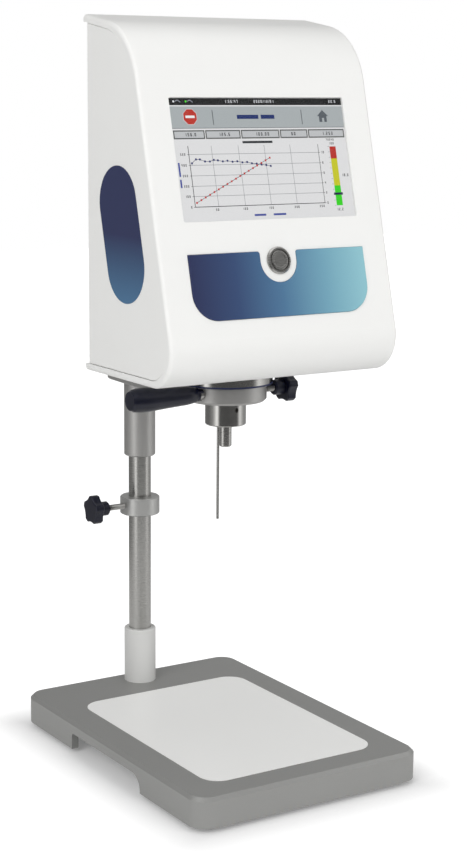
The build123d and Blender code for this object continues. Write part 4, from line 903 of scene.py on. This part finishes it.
class VISCOMETER_OT_stage(bpy.types.Operator):
    """Sets the camera, the pale floor and the soft lamps"""

    bl_idname = "viscometer.stage"
    bl_label = "Studio stage"
    bl_options = {"REGISTER", "UNDO"}

    def execute(self, context):
        scene = context.scene
        stage = scene.viscometer_stage
        scene.view_settings.view_transform = "Standard"
        scene.camera = self.camera(stage)
        self.floor(stage)
        self.surroundings(scene, stage)
        self.surround(stage)
        for name, setting, place, width in LAMPS:
            self.lamp(name, place, width, getattr(stage, setting))
        return {"FINISHED"}

    def camera(self, stage):
        """Camera at the photograph's view."""
        data = bpy.data.cameras.new("photo_camera")
        data.lens = stage.lens
        data.sensor_width = 36
        data.clip_start = 0.05
        camera = linked("photo_camera", data)
        look = Vector((
            math.sin(stage.yaw) * math.cos(stage.pitch),
            math.cos(stage.yaw) * math.cos(stage.pitch),
            -math.sin(stage.pitch),
        ))
        right = Vector((math.cos(stage.yaw), -math.sin(stage.yaw), 0))
        up = right.cross(look)
        tilted_right = right * math.cos(stage.roll) + up * math.sin(stage.roll)
        tilted_up = up * math.cos(stage.roll) - right * math.sin(stage.roll)
        turn = Matrix((tilted_right, tilted_up, -look)).transposed().to_4x4()
        camera.matrix_world = Matrix.Translation(stage.place) @ turn
        return camera

    def floor(self, stage):
        """Pale floor that keeps a soft shadow close to the base and is white further out."""
        half = stage.floor_size / 2
        mesh = bpy.data.meshes.new("floor")
        corners = [(-half, -half, 0), (half, -half, 0), (half, half, 0), (-half, half, 0)]
        mesh.from_pydata(corners, [], [(0, 1, 2, 3)])
        floor = linked("floor", mesh)
        finish = Finish("floor", (0.92, 0.92, 0.92), roughness=0.9)
        low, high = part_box("base_casting")
        centre = ((low.x + high.x) / 2, (low.y + high.y) / 2, 0)
        edges = ((high.x - low.x) / 2, (high.y - low.y) / 2, 0)
        away = finish.vector("ABSOLUTE", finish.scaled((1, 1, 0), centre))
        beyond = finish.vector("MAXIMUM", finish.vector("SUBTRACT", away, edges), (0, 0, 0))
        gap = finish.add("ShaderNodeVectorMath", {0: beyond}, operation="LENGTH").outputs["Value"]
        white_share = finish.span(gap, stage.shadow_share, 1.0, 0.0, stage.shadow_reach)
        path = finish.add("ShaderNodeLightPath")
        seen = finish.maths("MULTIPLY", path.outputs["Is Camera Ray"], white_share)
        light = finish.add("ShaderNodeEmission", {"Color": WHITE, "Strength": stage.floor_glow})
        surfaces = {0: seen, 1: finish.shader.outputs[0], 2: light.outputs[0]}
        finish.show(finish.add("ShaderNodeMixShader", surfaces).outputs[0])
        mesh.materials.append(finish.material)

    def surround(self, stage):
        """Ring of light and dark panels that only reflections see."""
        corners = []
        for k in range(RING_SIDES):
            turn = 2 * math.pi * k / RING_SIDES
            x, y = RING_RADIUS * math.cos(turn), RING_RADIUS * math.sin(turn)
            corners += [(x, y, RING_LOW), (x, y, RING_HIGH)]
        last = len(corners)
        faces = [(k, k + 1, (k + 3) % last, (k + 2) % last) for k in range(0, last, 2)]
        mesh = bpy.data.meshes.new("surround")
        mesh.from_pydata(corners, [], faces)
        ring = linked("surround", mesh)
        finish = Finish("surround", (0.5, 0.5, 0.5))
        heading = finish.maths("ARCTAN2", finish.part("Y"), finish.part("X"))
        around = finish.span(heading, 0.0, 1.0, -math.pi, math.pi)
        grey = finish.ramp(around, [(place, (share,) * 3) for place, share in PANELS])
        light = finish.add("ShaderNodeEmission", {"Color": grey, "Strength": stage.ring_glow})
        finish.show(light.outputs[0])
        mesh.materials.append(finish.material)
        ring.visible_camera = False
        ring.visible_diffuse = False
        ring.visible_transmission = False
        ring.visible_shadow = False

    def surroundings(self, scene, stage):
        """Soft light from all sides, and plain white where a ray is seen directly."""
        world = scene.world or bpy.data.worlds.new("studio")
        scene.world = world
        world.use_nodes = True
        tree = world.node_tree
        tree.nodes.clear()
        path = add_node(tree, "ShaderNodeLightPath").outputs
        seen = path["Is Camera Ray"]
        for ray in ("Is Glossy Ray", "Is Transmission Ray"):
            most = add_node(tree, "ShaderNodeMath", {0: seen, 1: path[ray]}, operation="MAXIMUM")
            seen = most.outputs[0]
        soft = add_node(tree, "ShaderNodeBackground", {"Color": WHITE, "Strength": stage.ambient})
        plain = add_node(tree, "ShaderNodeBackground", {"Color": WHITE, "Strength": 1.0})
        skies = {0: seen, 1: soft.outputs[0], 2: plain.outputs[0]}
        sky = add_node(tree, "ShaderNodeMixShader", skies)
        add_node(tree, "ShaderNodeOutputWorld", {0: sky.outputs[0]})

    def lamp(self, name, place, width, watts):
        """Square lamp that faces the instrument."""
        data = bpy.data.lights.new(name, "AREA")
        data.energy = watts
        data.size = width
        lamp = linked(name, data)
        lamp.location = place
        lamp.rotation_euler = (LAMP_AIM - Vector(place)).to_track_quat("-Z", "Y").to_euler()


STEPS = (
    VISCOMETER_OT_housing,
    VISCOMETER_OT_blue_plates,
    VISCOMETER_OT_display,
    VISCOMETER_OT_metalwork,
    VISCOMETER_OT_threads,
    VISCOMETER_OT_grips,
    VISCOMETER_OT_base,
    VISCOMETER_OT_rear,
    VISCOMETER_OT_stage,
)


class VISCOMETER_PT_panel(bpy.types.Panel):
    """Panel with every step and its settings."""

    bl_idname = "VISCOMETER_PT_panel"
    bl_label = "Viscometer"
    bl_space_type = "VIEW_3D"
    bl_region_type = "UI"
    bl_category = "Viscometer"

    def draw(self, context):
        for step in STEPS:
            self.layout.operator(step.bl_idname)
        scene = context.scene
        for group in (scene.viscometer_colours, scene.viscometer_sizes, scene.viscometer_stage):
            box = self.layout.box()
            for name in group.bl_rna.properties.keys():
                if name not in ("name", "rna_type"):
                    box.prop(group, name)


GROUPS = {
    "viscometer_colours": VISCOMETER_PG_colours,
    "viscometer_sizes": VISCOMETER_PG_sizes,
    "viscometer_stage": VISCOMETER_PG_stage,
}


def register():
    for group in GROUPS.values():
        bpy.utils.register_class(group)
    for step in STEPS:
        bpy.utils.register_class(step)
    bpy.utils.register_class(VISCOMETER_PT_panel)
    for name, group in GROUPS.items():
        setattr(bpy.types.Scene, name, PointerProperty(type=group))


def unregister():
    for name in GROUPS:
        delattr(bpy.types.Scene, name)
    for item in (VISCOMETER_PT_panel, *reversed(STEPS), *GROUPS.values()):
        bpy.utils.unregister_class(item)


def main():
    register()
    for step in STEPS:
        family, name = step.bl_idname.split(".")
        getattr(getattr(bpy.ops, family), name)()


if __name__ == "__main__":
    main()
